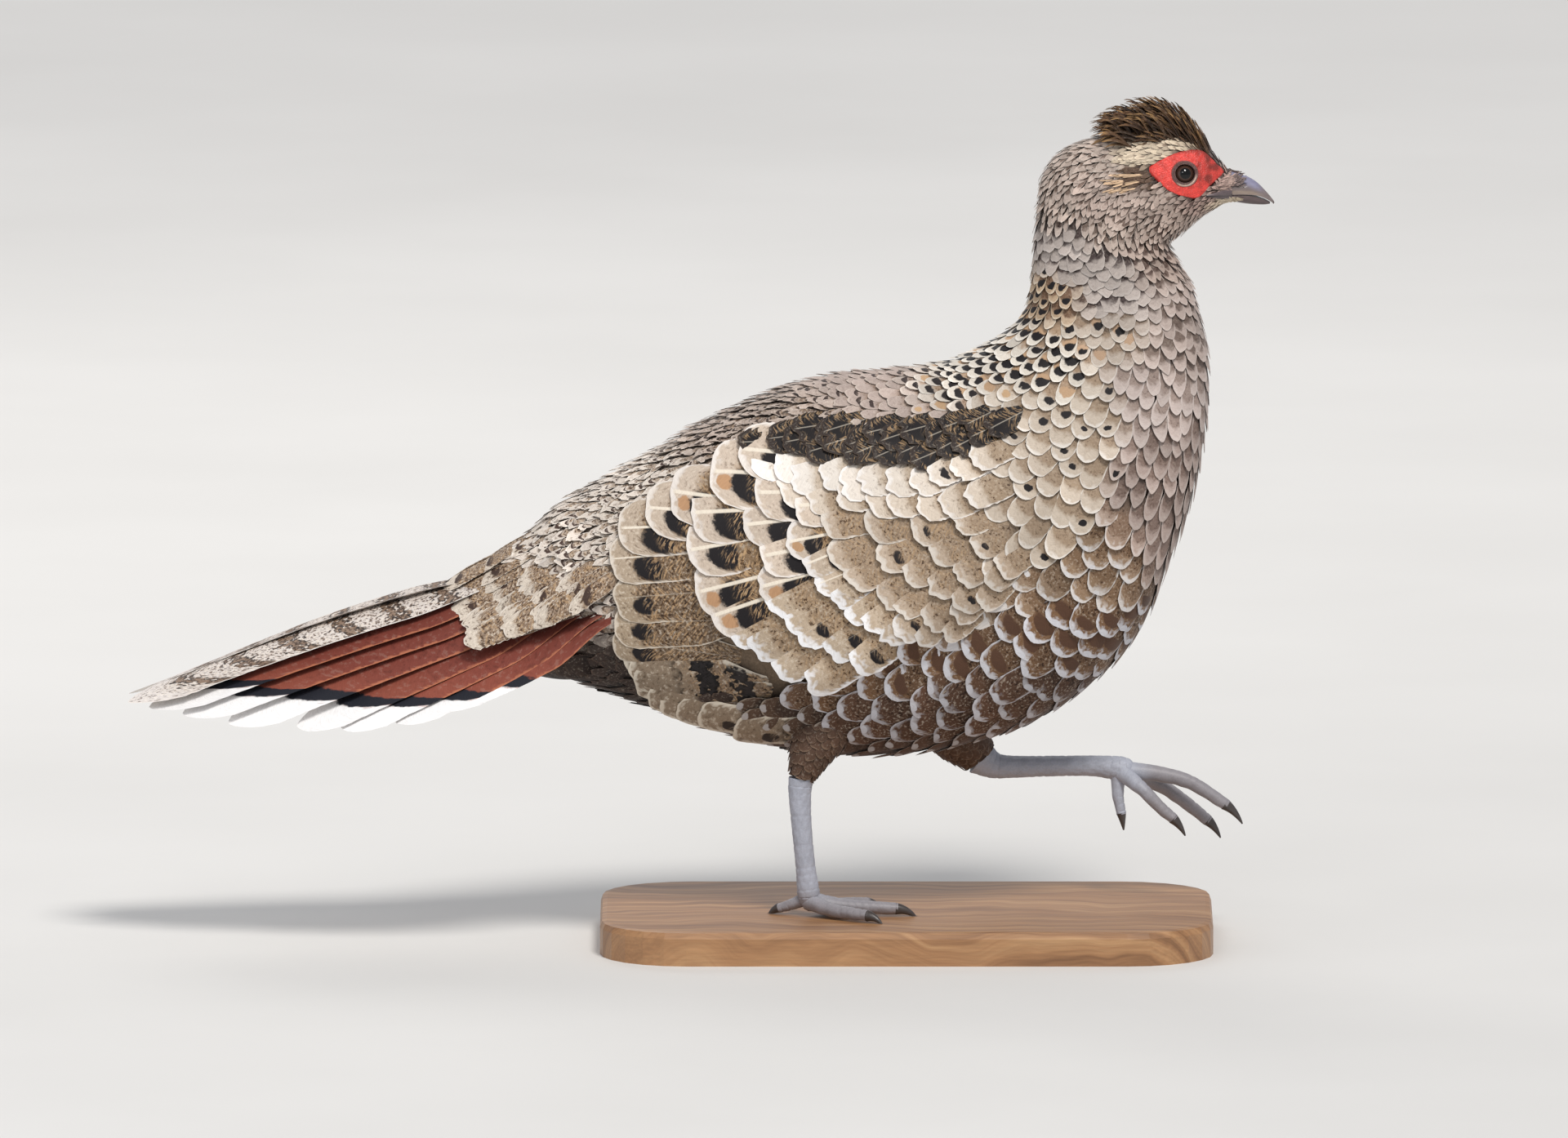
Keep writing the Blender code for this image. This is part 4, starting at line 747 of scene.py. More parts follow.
class Graph:
    """Short names for the shader nodes of one material."""

    def __init__(self, name):
        self.material = bpy.data.materials.new(name)
        self.material.use_nodes = True
        self.tree = self.material.node_tree
        self.shader = self.tree.nodes["Principled BSDF"]

    def put(self, socket, value):
        """Links a socket or sets a plain value."""
        if isinstance(value, bpy.types.NodeSocket):
            self.tree.links.new(value, socket)
        elif np.size(value) == 3 and len(socket.default_value) == 4:
            socket.default_value = (*value, 1.0)
        else:
            socket.default_value = value

    def math(self, operation, *values):
        node = self.tree.nodes.new("ShaderNodeMath")
        node.operation = operation
        for socket, value in zip(node.inputs, values):
            self.put(socket, value)
        return node.outputs[0]

    def times(self, *values):
        made = values[0]
        for value in values[1:]:
            made = self.math("MULTIPLY", made, value)
        return made

    def plus(self, a, b):
        return self.math("ADD", a, b)

    def minus(self, a, b):
        return self.math("SUBTRACT", a, b)

    def mix(self, share, a, b, blend="MIX"):
        node = self.tree.nodes.new("ShaderNodeMix")
        node.data_type = "RGBA"
        node.blend_type = blend
        node.clamp_factor = True
        self.put(node.inputs["Factor"], share)
        self.put(node.inputs[6], a)
        self.put(node.inputs[7], b)
        return node.outputs[2]

    def scaled(self, colour, amount):
        """A colour made darker or lighter by a number."""
        return self.mix(1.0, colour, self.join(amount, amount, amount), "MULTIPLY")

    def step(self, value, low, high):
        """0 at low, 1 at high, smooth between."""
        node = self.tree.nodes.new("ShaderNodeMapRange")
        node.interpolation_type = "SMOOTHSTEP"
        self.put(node.inputs["Value"], value)
        self.put(node.inputs["From Min"], low)
        self.put(node.inputs["From Max"], high)
        return node.outputs["Result"]

    def attribute(self, name):
        """(vector or colour, alpha) of a stored attribute."""
        node = self.tree.nodes.new("ShaderNodeAttribute")
        node.attribute_name = name
        return node.outputs["Color"], node.outputs["Alpha"]

    def split(self, vector):
        node = self.tree.nodes.new("ShaderNodeSeparateXYZ")
        self.put(node.inputs[0], vector)
        return node.outputs

    def join(self, x, y, z):
        node = self.tree.nodes.new("ShaderNodeCombineXYZ")
        for socket, value in zip(node.inputs, (x, y, z)):
            self.put(socket, value)
        return node.outputs[0]

    def uv(self, name):
        node = self.tree.nodes.new("ShaderNodeUVMap")
        node.uv_map = name
        return node.outputs[0]

    def place(self):
        return self.tree.nodes.new("ShaderNodeNewGeometry").outputs["Position"]

    def noise(self, vector, scale, detail=2.0, rough=0.5):
        node = self.tree.nodes.new("ShaderNodeTexNoise")
        self.put(node.inputs["Vector"], vector)
        node.inputs["Scale"].default_value = scale
        node.inputs["Detail"].default_value = detail
        node.inputs["Roughness"].default_value = rough
        return node.outputs[0]

    def cells(self, vector, scale):
        node = self.tree.nodes.new("ShaderNodeTexVoronoi")
        self.put(node.inputs["Vector"], vector)
        node.inputs["Scale"].default_value = scale
        return node.outputs["Distance"]

    def bump(self, height, strength, distance):
        node = self.tree.nodes.new("ShaderNodeBump")
        node.inputs["Strength"].default_value = strength
        node.inputs["Distance"].default_value = distance
        self.put(node.inputs["Height"], height)
        self.tree.links.new(node.outputs[0], self.shader.inputs["Normal"])

    def ramp(self, value, *stops):
        node = self.tree.nodes.new("ShaderNodeValToRGB")
        self.put(node.inputs[0], value)
        ramp = node.color_ramp
        while len(ramp.elements) < len(stops):
            ramp.elements.new(0.5)
        for element, (at, colour) in zip(ramp.elements, stops):
            element.position = at
            element.color = (*colour, 1.0)
        return node.outputs[0]

    def surface(self, colour, roughness, **fixed):
        """The finished material; fixed names other inputs, with _ for a space."""
        self.put(self.shader.inputs["Base Color"], colour)
        self.put(self.shader.inputs["Roughness"], roughness)
        for name, value in fixed.items():
            self.shader.inputs[name.replace("_", " ")].default_value = value
        return self.material


def plumage_material():
    """Every feather: its markings are measured in mm from its tip and its shaft."""
    g = Graph("plumage")
    # Places on the feather, the noises that break its markings, and its stored values.
    u, v, _ = g.split(g.uv("fuv"))
    sizes, slant = g.attribute("dims")
    length, width, chance = g.split(sizes)
    from_tip = g.times(g.minus(1.0, u), length)
    side = g.times(g.minus(v, 0.5), width)
    off_shaft = g.math("ABSOLUTE", side)
    to_side = g.minus(g.times(width, 0.5), off_shaft)
    seed = g.times(chance, 500.0)
    flow = g.plus(from_tip, g.times(off_shaft, 0.9))
    field, field_from = g.attribute("field")
    grain = g.math("DIVIDE", 1.0, g.plus(1.0, g.times(field_from, 0.04)))
    speck_at = g.join(g.plus(g.times(side, grain), seed), g.times(from_tip, grain), seed)
    wobble_at = g.join(g.plus(side, seed), from_tip, seed)
    wave_at = g.join(g.plus(g.times(side, 0.42), seed), g.times(flow, 1.5), seed)
    barb_at = g.join(g.times(flow, 2.6), g.times(side, 0.35), seed)
    wobble = g.noise(wobble_at, 0.35, 1.0)
    speck = g.noise(speck_at, 1.1, 3.0, 0.6)
    wave = g.noise(wave_at, 0.75, 2.0, 0.55)
    barbs = g.noise(barb_at, 1.0, 2.0, 0.6)
    base, down = g.attribute("base")
    edge, edge_width = g.attribute("edge")
    bar, bar_strength = g.attribute("bar")
    bar_values, side_edge = g.attribute("bar_at")
    bar_period, bar_share, bar_phase = g.split(bar_values)
    controls, vermi = g.attribute("ctl")
    mottle, streak, tip_spot = g.split(controls)
    jitter = g.times(g.minus(wobble, 0.5), 4.0)
    measured = g.plus(from_tip, jitter)

    # Ground colour, the hidden field further in, specks and fine waves.
    inner = g.step(measured, g.times(field_from, 0.7), g.times(field_from, 1.3))
    colour = g.mix(inner, base, field)
    clumps = g.plus(0.35, g.times(g.step(wobble, 0.42, 0.6), 1.1))
    dark_specks = g.times(g.step(speck, 0.52, 0.64), mottle, clumps, g.plus(0.3, g.times(inner, 0.7)))
    pale_specks = g.times(g.step(speck, 0.46, 0.34), mottle, 0.5)
    colour = g.mix(pale_specks, colour, g.mix(0.5, colour, (0.80, 0.72, 0.60)))
    lines = g.times(g.step(wave, 0.50, 0.60), vermi, inner)
    colour = g.mix(lines, colour, srgb(*BUFF))
    # Bars across the feather, with a darker rim.
    periods = g.math("DIVIDE", g.plus(measured, g.times(side, -0.25)), bar_period)
    turn = g.times(g.plus(periods, bar_phase), 2 * math.pi)
    level = g.minus(g.math("SINE", turn), g.times(g.minus(0.5, bar_share), 3.0))
    level = g.plus(level, g.plus(g.times(g.minus(speck, 0.5), 2.4), g.times(g.minus(wobble, 0.5), 4.0)))
    shown = g.step(measured, g.times(field_from, 0.6), field_from)
    bars = g.times(g.step(level, -0.2, 0.3), bar_strength, shown)
    rimmed = g.times(g.step(level, 1.0, 0.5), g.step(speck, 0.42, 0.5))
    colour = g.mix(bars, colour, g.mix(rimmed, bar, g.mix(1.0, bar, (0.12, 0.11, 0.12), "MULTIPLY")))
    colour = g.mix(dark_specks, colour, g.mix(1.0, colour, (0.26, 0.21, 0.18), "MULTIPLY"))
    # The pale rim along tip and sides.
    rim = g.math("MINIMUM", from_tip, g.times(to_side, side_edge))
    broad = g.times(g.step(wobble, 0.35, 0.65), 0.9)
    reach = g.times(edge_width, g.plus(0.3, g.plus(g.times(speck, 0.5), broad)))
    cover = g.step(g.math("DIVIDE", rim, reach), 1.7, 0.35)
    colour = g.mix(cover, colour, edge)
    # Rounded marks near the tip.
    for name, broken in (("mark2", 0.0), ("mark", 1.0)):
        spot, share = g.attribute(name)
        at, offset = g.attribute(name + "_at")
        centre, half_length, half_width = g.split(at)
        slanted = g.minus(g.plus(from_tip, g.times(jitter, 0.6)), g.times(side, slant))
        du = g.math("DIVIDE", g.minus(slanted, centre), half_length)
        dv = g.math("DIVIDE", g.minus(g.plus(side, g.times(jitter, 0.3)), offset), half_width)
        far = g.plus(*(g.math("POWER", g.math("ABSOLUTE", d), 2.2) for d in (du, dv)))
        far = g.plus(far, g.times(g.minus(speck, 0.5), 1.3))
        flames = g.times(g.step(wave, 0.48, 0.58), vermi, g.step(du, -0.35, 0.5), broken)
        cover = g.times(g.step(far, 1.35, 0.7), share, g.minus(1.0, flames))
        colour = g.mix(cover, colour, spot)
    # The broad pale spot at the tip of flank feathers.
    bulb_size = g.math("MAXIMUM", tip_spot, 0.01)
    bulb_u = g.minus(g.plus(from_tip, g.times(jitter, 0.3)), g.times(bulb_size, 1.7))
    bulb_u = g.math("DIVIDE", bulb_u, g.times(bulb_size, 2.5))
    bulb_v = g.math("DIVIDE", side, g.times(bulb_size, 3.7))
    bulb = g.plus(g.times(bulb_u, bulb_u), g.times(bulb_v, bulb_v))
    bulb = g.step(g.plus(bulb, g.times(g.minus(speck, 0.5), 0.8)), 1.15, 0.6)
    bulb = g.times(bulb, g.step(tip_spot, 0.25, 0.4), 0.95)
    colour = g.mix(bulb, colour, g.mix(0.4, edge, (0.60, 0.61, 0.66)))
    # The pale shaft, the downy root and the fine barbs.
    shaft = g.step(off_shaft, g.plus(g.times(streak, 0.6), 0.12), g.times(streak, 0.3))
    shaft = g.times(shaft, g.step(from_tip, 0.4, 3.0), g.step(streak, 0.05, 0.8))
    colour = g.mix(g.times(shaft, 0.9), colour, (0.80, 0.72, 0.60))
    dusk = g.times(g.step(u, 0.5, 0.1), down)
    colour = g.mix(dusk, colour, (0.05, 0.04, 0.035))
    colour = g.scaled(colour, g.plus(0.76, g.times(barbs, 0.48)))
    g.bump(g.plus(g.times(barbs, 0.6), g.times(shaft, 0.6)), 0.45, 0.0004)
    return g.surface(colour, 0.6, Specular_IOR_Level=0.22, Sheen_Weight=0.06, Sheen_Roughness=0.4)


PLUMAGE = plumage_material()


def style_for(fields, count, tone=0.05, patches=0.0):
    """Attribute arrays of feathers from style values; patches lightens or darkens each feather: tone
    that differs over the coat, with painted light on raised clumps and painted shade in the dips
    between them.
    """
    shade = (1 + RNG.normal(0, tone, (count, 1))) * np.exp(np.reshape(patches, (-1, 1)))
    chance = RNG.random((2, count, 1))
    stretch = 1 + RNG.normal(0, 0.1, (count, 1))

    def pack(colour, last, scale=shade):
        return np.column_stack([fields[colour] * scale, last])

    return {
        "base": pack("base", fields["down"]),
        "field": pack("field", fields["field_from"]),
        "edge": pack("edge", fields["edge_width"]),
        "mark": pack("mark", chance[0] < fields["mark_chance"], 1.0),
        "mark_at": fields["mark_at"] * stretch,
        "mark2": pack("mark2", chance[1] < fields["mark2_chance"]),
        "mark2_at": fields["mark2_at"] * stretch,
        "bar": pack("bar", fields["bar_strength"], 1.0),
        "bar_at": np.column_stack([
            fields["bar_period"], fields["bar_share"], RNG.random(count) * 0.3, fields["side_edge"],
        ]),
        "ctl": np.column_stack([fields[key] for key in ("mottle", "streak", "tip_spot", "vermi")]),
        "loose": fields["loose"][:, 0],
        "slant": fields["slant"][:, 0],
    }


def skin_patch(station, angle, count_stations):
    """Each small feather's patch on the unwrap of the skin's own shape."""
    low = np.column_stack([station / (count_stations - 1), angle / (2 * math.pi)]) * 0.99
    return np.column_stack([low, np.full((len(station), 2), 0.003)])


def cell_patch(first, count, across):
    """Large feathers' own cells in a sheet of across x across cells."""
    index = first + np.arange(count)
    low = np.column_stack([index % across, index // across]) / across
    return np.column_stack([low + 0.05 / across, np.full((count, 2), 0.9 / across)])


def both_sides(roots):
    """The right side's roots with their mirrored twins."""
    return np.vstack([roots, roots * (1, -1, 1)])


# Coat pieces of the body: name, first and last station, mesh rows and columns, length and width
# of a feather in spacings, how deep its root lies, how high its tip stands and its slot.
COAT_PIECES = (
    ("coat_head", 14.4, 20.1, 6, 5, 2.6, 1.5, 0.8, 0.25, "head_feathers"),
    ("coat_neck", 11.2, 14.4, 9, 9, 2.2, 1.4, 1.6, 0.5, "neck_feathers"),
    ("coat_breast", 8.0, 11.2, 11, 11, 2.1, 1.35, 2.4, 0.6, "body_feathers"),
    ("coat_body", 0.0, 8.0, 11, 11, 2.1, 1.35, 2.4, 0.6, "body_feathers"),
)
# The coat ends where the bill begins.
COAT_FRONT = 141.5
# How unevenly the feathers point, and how much more where they are slim.
UNEVEN = 0.06
UNEVEN_SLIM = 0.15
# Slim feathers are longer, narrower and more pointed than round ones.
SLIM_LONGER = 1.3
SLIM_NARROWER = 0.42
SLIM_POINTED = 0.8
# Lines where the neck's plumage breaks and the feathers stand out: station, reach along the
# body and rise.
RUFFLES = (
    (15.4, 1.2, 1.5), (14.15, 0.16, 1.5), (13.75, 0.12, 1.3), (13.3, 0.12, 0.9), (12.15, 0.14, 1.3),
)
WING_ROWS_AREA = (
    (-112.0, 198.0), (-96.0, 214.0), (-74.0, 223.0), (-56.0, 228.0), (-34.0, 232.0), (0.0, 233.0),
    (26.0, 233.0), (40.0, 224.0), (38.0, 204.0), (38.0, 184.0), (28.0, 168.0), (10.0, 152.0),
    (-8.0, 140.0), (-26.0, 126.0), (-44.0, 114.0), (-70.0, 110.0), (-96.0, 116.0), (-112.0, 130.0),
    (-120.0, 150.0), (-120.0, 180.0),
)


def body_spacing(points):
    """Distance between the small feathers at places on the body, in mm."""
    return plumage_at(points[:, 0], points[:, 2])["spacing"]


def coat_keep(points):
    """1 where small body feathers grow: not on the bare face, nor under the wing's own rows."""
    x, z = points[:, 0], points[:, 2]
    outer = np.abs(points[:, 1])
    bare = (face_gap(x, z) > -0.2) & (outer > 4.0)
    side = np.stack([x, z], axis=1)
    under_wing = (inside_distance(side, WING_ROWS_AREA) > 3.0) & (outer > 25.0)
    return (~bare & ~under_wing & (x < COAT_FRONT)).astype(float)


def body_coat():
    """The small feathers of head, neck, breast and body."""
    roots = both_sides(scatter(BODY_SURFACE, body_spacing, 1.12, coat_keep))
    roots, normal, lie, station, angle = BODY_SURFACE.nearest(roots)
    fields = plumage_at(roots[:, 0], roots[:, 2])
    droop = np.array([0.0, 0.0, -0.12]) * smooth(np.abs(roots[:, 1]), 5, 40)[:, None]
    slim = fields["slim"][:, 0]
    way = lie + droop + RNG.normal(0, 1, roots.shape) * (UNEVEN + UNEVEN_SLIM * slim)[:, None]
    way = unit(way - normal * (way * normal).sum(axis=1, keepdims=True))
    stand = sum(rise * np.exp(-(((station - at) / reach) ** 2)) for at, reach, rise in RUFFLES)
    run = np.interp(station, np.arange(len(STATIONS)), MIDLINE)
    half = np.interp(station, np.arange(len(STATIONS)), HALF_WIDTHS)
    around = np.mod(angle + math.pi, 2 * math.pi) * half / 2.4
    on_head = smooth(station, 12.0, 14.6)
    # A wavy field over the coat lifts groups of feathers and lightens them where it rises, darkens them
    # where it sinks: tone that differs, plus painted light on the raised clumps and painted shade in
    # the dips between them.
    patches = ripple(run, around, 1.0, 21) * on_head + ripple(run, around, 3.2, 22) * (1 - on_head)
    stand = stand + np.maximum(patches, 0) * (0.4 + 0.3 * (1 - on_head))
    patches = patches * (0.12 + 0.16 * on_head)
    for name, first, last, rows, cols, long, wide, deep, high, slot in COAT_PIECES:
        here = (station >= first) & (station < last)
        groups = (("", here),)
        if name == "coat_body":
            groups = (("_right", here & (roots[:, 1] <= 0)), ("_left", here & (roots[:, 1] > 0)))
        for suffix, pick in groups:
            n = int(pick.sum())
            part = {key: value[pick] for key, value in fields.items()}
            thin = slim[pick]
            length = part["spacing"] * long * (1 + (SLIM_LONGER - 1) * thin) * RNG.uniform(0.8, 1.25, n)
            width = part["spacing"] * wide * (1 - SLIM_NARROWER * thin) * RNG.uniform(0.9, 1.12, n)
            lift = (-deep * RNG.uniform(0.8, 1.2, n), high * RNG.uniform(0.3, 1.5, n) + stand[pick])
            batch = Vanes(rows, cols)
            start = roots[pick] - way[pick] * (length * 0.55)[:, None]
            style = style_for(part, n, 0.07, patches[pick])
            batch.add_on(
                BODY_SURFACE, start, way[pick], normal[pick], length, width, lift, style,
                skin_patch(station[pick], angle[pick], len(STATIONS)), camber=0.035,
                tip=0.5 + 0.4 * thin, power=(2.3 - SLIM_POINTED * thin, 2.0 - SLIM_POINTED * thin),
            )
            batch.build(name + suffix)


# Rows of the folded wing and its scapulars, lowest first: styles, lengths and widths of the first
# and the last feather, how high the tips lie, and the tips seen from the side with the degrees
# that each feather points below the horizontal.
WING_ROWS = (
    (("secondary", "secondary"), (64, 50), (17, 15), 1.5, (
        (-123, 135.5, -11), (-121.8, 130.8, -13), (-119.8, 126, -14), (-116.6, 121.3, -15),
        (-112, 117, -15), (-106.5, 113, -15), (-99.5, 109.2, -14), (-90, 105.2, -12),
        (-77, 101.5, -8),)),
    (("tertial", "olive"), (60, 58), (26, 24), 2.0, (
        (-101.5, 205.6, 1), (-113.8, 197.6, 2), (-123.5, 187, 5), (-129, 172.5, 7), (-127.5, 158, 9),)),
    (("olive", "olive"), (58, 56), (24, 19), 2.0, (
        (-127.5, 148, 3), (-126.5, 140.5, -4),)),
    (("tertial", "tertial"), (52, 50), (29, 27), 2.4, (
        (-85.7, 212, -2), (-93.6, 196.4, 4), (-94.3, 180.4, 8), (-91.4, 164, 17),)),
    (("tertial", "greater"), (50, 46), (25, 22), 2.4, (
        (-86, 151.5, 20), (-79, 145, 21),)),
    (("greater", "greater"), (46, 42), (22, 18), 2.4, (
        (-68.4, 139.5, 22), (-55.4, 129.5, 26), (-44.6, 122.5, 28),)),
    (("tertial", "tertial"), (44, 42), (25, 21), 2.4, (
        (-70.6, 221, -1), (-68.4, 205, 2), (-70.6, 192, 9), (-66.2, 178.7, 17), (-65, 168, 20),)),
    (("greater", "greater"), (42, 36), (21, 18), 2.4, (
        (-59.8, 159.8, 22), (-53, 152, 25), (-46, 145, 27), (-35, 138, 29), (-24.5, 132, 31),)),
    (("tertial", "greater"), (38, 34), (20, 15), 2.3, (
        (-51, 197, 6), (-51.8, 184.5, 16), (-45, 173, 24), (-39.5, 166.5, 26), (-33, 160, 28),)),
    (("greater", "lesser"), (34, 32), (15, 14), 2.3, (
        (-25.5, 153.5, 31), (-18.5, 149, 33), (-12, 146, 35), (-5, 144.5, 37), (4, 143.5, 39),
        (14, 143.5, 41),)),
    (("tan", "lesser"), (34, 30), (18, 14), 2.2, (
        (-37, 193, 10), (-34, 180, 20), (-25, 169, 26), (-15, 161, 30), (-4, 156, 34), (8, 152.5, 38),
        (20, 151.5, 41),)),
    (("tan", "lesser"), (32, 28), (18, 14), 2.1, (
        (-17, 192.5, 14), (-12, 180, 22), (-2, 170, 29), (10, 163, 34), (22, 158.5, 39),
        (32, 158, 43),)),
    (("tan", "lesser"), (30, 27), (17, 14), 2.0, (
        (3, 191.5, 17), (11, 180, 24), (22, 171, 31), (34, 166, 38),)),
    (("lesser", "lesser"), (27, 26), (15, 14), 1.9, (
        (22, 192, 18), (30, 181, 26), (40, 174, 34),)),
    (("cream", "cream"), (38, 30), (18, 14), 2.5, (
        (-55, 206.5, 4), (-42, 204, 8), (-30, 203.5, 11), (-18, 201.5, 14), (-7, 201, 17),
        (4, 200.5, 19), (15, 202, 21), (26, 203.5, 24),)),
    (("white", "cream"), (36, 30), (17, 13), 2.7, (
        (-69, 217, 4), (-59, 215.5, 7), (-49, 212.5, 10), (-39, 212.5, 12), (-29, 210.5, 15),
        (-19, 211.5, 17), (-9, 211, 19), (1, 212.5, 21), (11, 213, 23), (21, 216, 24),
        (31, 219.5, 27),)),
    (("scapular", "scapular"), (34, 28), (14, 11), 2.7, (
        (-71, 225, 8), (-63, 223.5, 14), (-53, 225, 16), (-45, 221.5, 19), (-36, 223, 21),
        (-29, 220, 22), (-20, 222, 24), (-13, 219.5, 25), (-4, 222, 25), (4, 221, 26),
        (12, 224.5, 26), (20, 225, 27), (28, 228, 27), (36, 231, 28),)),
    (("scapular", "scapular"), (30, 24), (12, 10), 2.6, (
        (-50, 229.5, 14), (-42, 227.5, 17), (-34, 229.5, 18), (-26, 227.5, 21), (-18, 229, 22),
        (-10, 227, 23), (-2, 229, 24), (6, 228, 25), (14, 231, 25), (23, 232, 27),)),
)
# Pieces of the wing by rows; how far the vanes tilt over each other, how deep their roots lie
# and how far their tips stray.
WING_PIECES = (("flight", 0, 3), ("coverts", 3, 14), ("scapulars", 14, 18))
WING_SHINGLE = 0.05
WING_SINK = 2.8
WING_JITTER = 1.2


def wings():
    """The folded wings, row by row from the flight feathers up, mirrored to the left."""
    for name, first, last in WING_PIECES:
        batch = Vanes(24, 15)
        used = 0
        for (style_a, style_b), lengths, widths, lift, tips in WING_ROWS[first:last]:
            tips = np.array(tips, float)
            count = len(tips)
            share = np.linspace(0, 1, count)
            tip = tips[:, :2] + RNG.normal(0, WING_JITTER, (count, 2))
            degrees = tips[:, 2] + RNG.normal(0, 2.2, count)
            long = np.interp(share, (0, 1), lengths) * RNG.uniform(0.97, 1.03, count)
            wide = np.interp(share, (0, 1), widths) * RNG.uniform(0.95, 1.05, count)
            style = style_for(row_style(style_a, style_b, share), count, 0.06)
            rise = (np.full(count, -WING_SINK), lift + RNG.uniform(-0.2, 0.2, count))
            batch.add_side(
                BODY_SURFACE, tip, degrees, long, wide, rise, style, cell_patch(used, count, 8),
                camber=0.045, shingle=WING_SHINGLE, tip=0.45, power=(2.5, 2.0), root=0.5, fill=0.45,
            )
            used += count
        for side, flip in SIDES:
            nodes = ("wing_" + side,) if name == "coverts" else ()
            batch.build(f"wing_{name}_{side}", nodes, flip < 0)


# Tail feathers of one side, the central one first: tips, roots of the first and the last, their
# widths, how far they lean over, and how high the central one arches.
RECTRIX_TIPS = (
    (-343.0, -11.5, 106.2), (-333.4, -15.0, 104.8), (-319.0, -21.0, 103.0), (-298.8, -27.0, 100.6),
    (-268.6, -33.0, 99.0), (-248.8, -38.0, 99.5), (-225.0, -42.0, 103.0), (-208.0, -43.0, 109.0),
)
RECTRIX_ROOTS = ((-158.0, -4.5, 168.5), (-130.0, -35.0, 149.0))
RECTRIX_WIDTH = (33.0, 27.0)
RECTRIX_SLOPE = (30.0, 52.0)
RECTRIX_ARCH = 4.0
# Coverts over the tail: first and last root and tip of a row, widths, slopes and how many.
COVERT_ROWS = (
    ((-164, -2, 175), (-202, -6, 157.5), (-146, -31, 152), (-193, -38, 139), 13, (25, 62), 11),
    ((-153, -3, 184), (-189, -6, 164.5), (-136, -33, 158), (-178, -40, 143), 12, (25, 66), 12),
    ((-142, -3, 192), (-176, -6, 173.0), (-128, -34, 164), (-163, -41, 148), 11, (25, 70), 13),
    ((-132, -3, 198.5), (-163, -6, 182.0), (-122, -35, 170), (-149, -42, 154), 10, (25, 72), 13),
)
# Coverts under the tail, in the vent's style with its painted shade.
UNDER_ROWS = (
    ((-146, -4, 126), (-180, -5, 128), (-142, -18, 133), (-168, -24, 132), 12, (168, 130), 6),
    ((-134, -4, 120), (-166, -5, 121), (-130, -20, 128), (-152, -28, 127), 12, (168, 125), 7),
)


def slope_frame(degrees):
    """Across and outward directions of feathers that lean by an angle."""
    turn = np.radians(degrees)
    zero = np.zeros_like(turn)
    across = np.stack([zero, -np.cos(turn), -np.sin(turn)], axis=1)
    return across, np.stack([zero, -np.sin(turn), np.cos(turn)], axis=1)


def straight_row(row, rows):
    """Spines, frames and sizes of a row of coverts."""
    root_a, tip_a, root_b, tip_b, width, (slope_a, slope_b), count = row
    t = (np.linspace(0, 1, count) + RNG.normal(0, 0.02, count))[:, None]
    root = np.array(root_a) * (1 - t) + np.array(root_b) * t
    tip = np.array(tip_a) * (1 - t) + np.array(tip_b) * t + RNG.normal(0, 1.5, (count, 3)) * (1, 0, 0.2)
    across, normal = slope_frame(slope_a + (slope_b - slope_a) * t[:, 0])
    u = np.linspace(0, 1, rows)[None, :, None]
    bow = 2.5 * np.sin(math.pi * u) * normal[:, None]
    spine = root[:, None] * (1 - u) + tip[:, None] * u + bow
    length = np.linalg.norm(tip - root, axis=1)
    return spine, across, normal, length, width * RNG.uniform(0.95, 1.05, count), t[:, 0]


def tail():
    """Sixteen tail feathers under a roof of coverts: the central ones on top."""
    count = len(RECTRIX_TIPS)
    t = np.linspace(0, 1, count)
    root = np.array(RECTRIX_ROOTS[0]) * (1 - t[:, None]) + np.array(RECTRIX_ROOTS[1]) * t[:, None]
    tip = np.array(RECTRIX_TIPS)
    middle = (root + tip) / 2 + np.array([0.0, 0.0, 1.0]) * (RECTRIX_ARCH * (1 - t))[:, None]
    steeper = np.minimum(1, 2.5 * t)
    across, normal = slope_frame(RECTRIX_SLOPE[0] + (RECTRIX_SLOPE[1] - RECTRIX_SLOPE[0]) * steeper)
    width = RECTRIX_WIDTH[0] + (RECTRIX_WIDTH[1] - RECTRIX_WIDTH[0]) * t
    length = np.linalg.norm(tip - root, axis=1)
    rows = 56
    batch = Vanes(rows, 13)
    along = np.linspace(0, 2, rows)
    spine = np.stack([catmull(points, along) for points in zip(root, middle, tip)])
    for kind, part in (("central", slice(0, 1)), ("outer", slice(1, count))):
        n = len(t[part])
        style = style_for(row_style(kind, kind, np.zeros(n)), n, 0.03)
        batch.add_free(
            spine[part], across[part], normal[part], length[part], width[part], style,
            cell_patch(part.start, n, 5), camber=0.07, shingle=0.13, tip=0.8, power=(1.6, 1.3),
            root=0.4, fill=0.35, taper=0.12,
        )
    used = count
    for rows_of, kind in ((COVERT_ROWS, "covert"), (UNDER_ROWS, "vent")):
        for row in rows_of:
            line, across, normal, long, wide, share = straight_row(row, rows)
            n = len(long)
            style = style_for(row_style(kind, kind, share), n)
            batch.add_free(
                line, across, normal, long, wide, style, cell_patch(used, n, 7), camber=0.07,
                shingle=0.03, tip=0.5, power=(2.3, 2.0), root=0.6,
            )
            used += n
    for side, flip in SIDES:
        nodes = ("tail",) if side == "right" else ()
        batch.build("tail_feathers_" + side, nodes, flip < 0)


CREST_OUTLINE = (
    (66.0, 354.5), (75.0, 361.5), (81.0, 365.6), (86.0, 369.4), (91.5, 372.4), (96.0, 374.4),
    (101.0, 375.6), (106.0, 376.2), (112.5, 375.6), (119.5, 372.4), (125.0, 367.4), (130.5, 359.8),
    (136.0, 353.4),
)
CREST_COUNT = 950
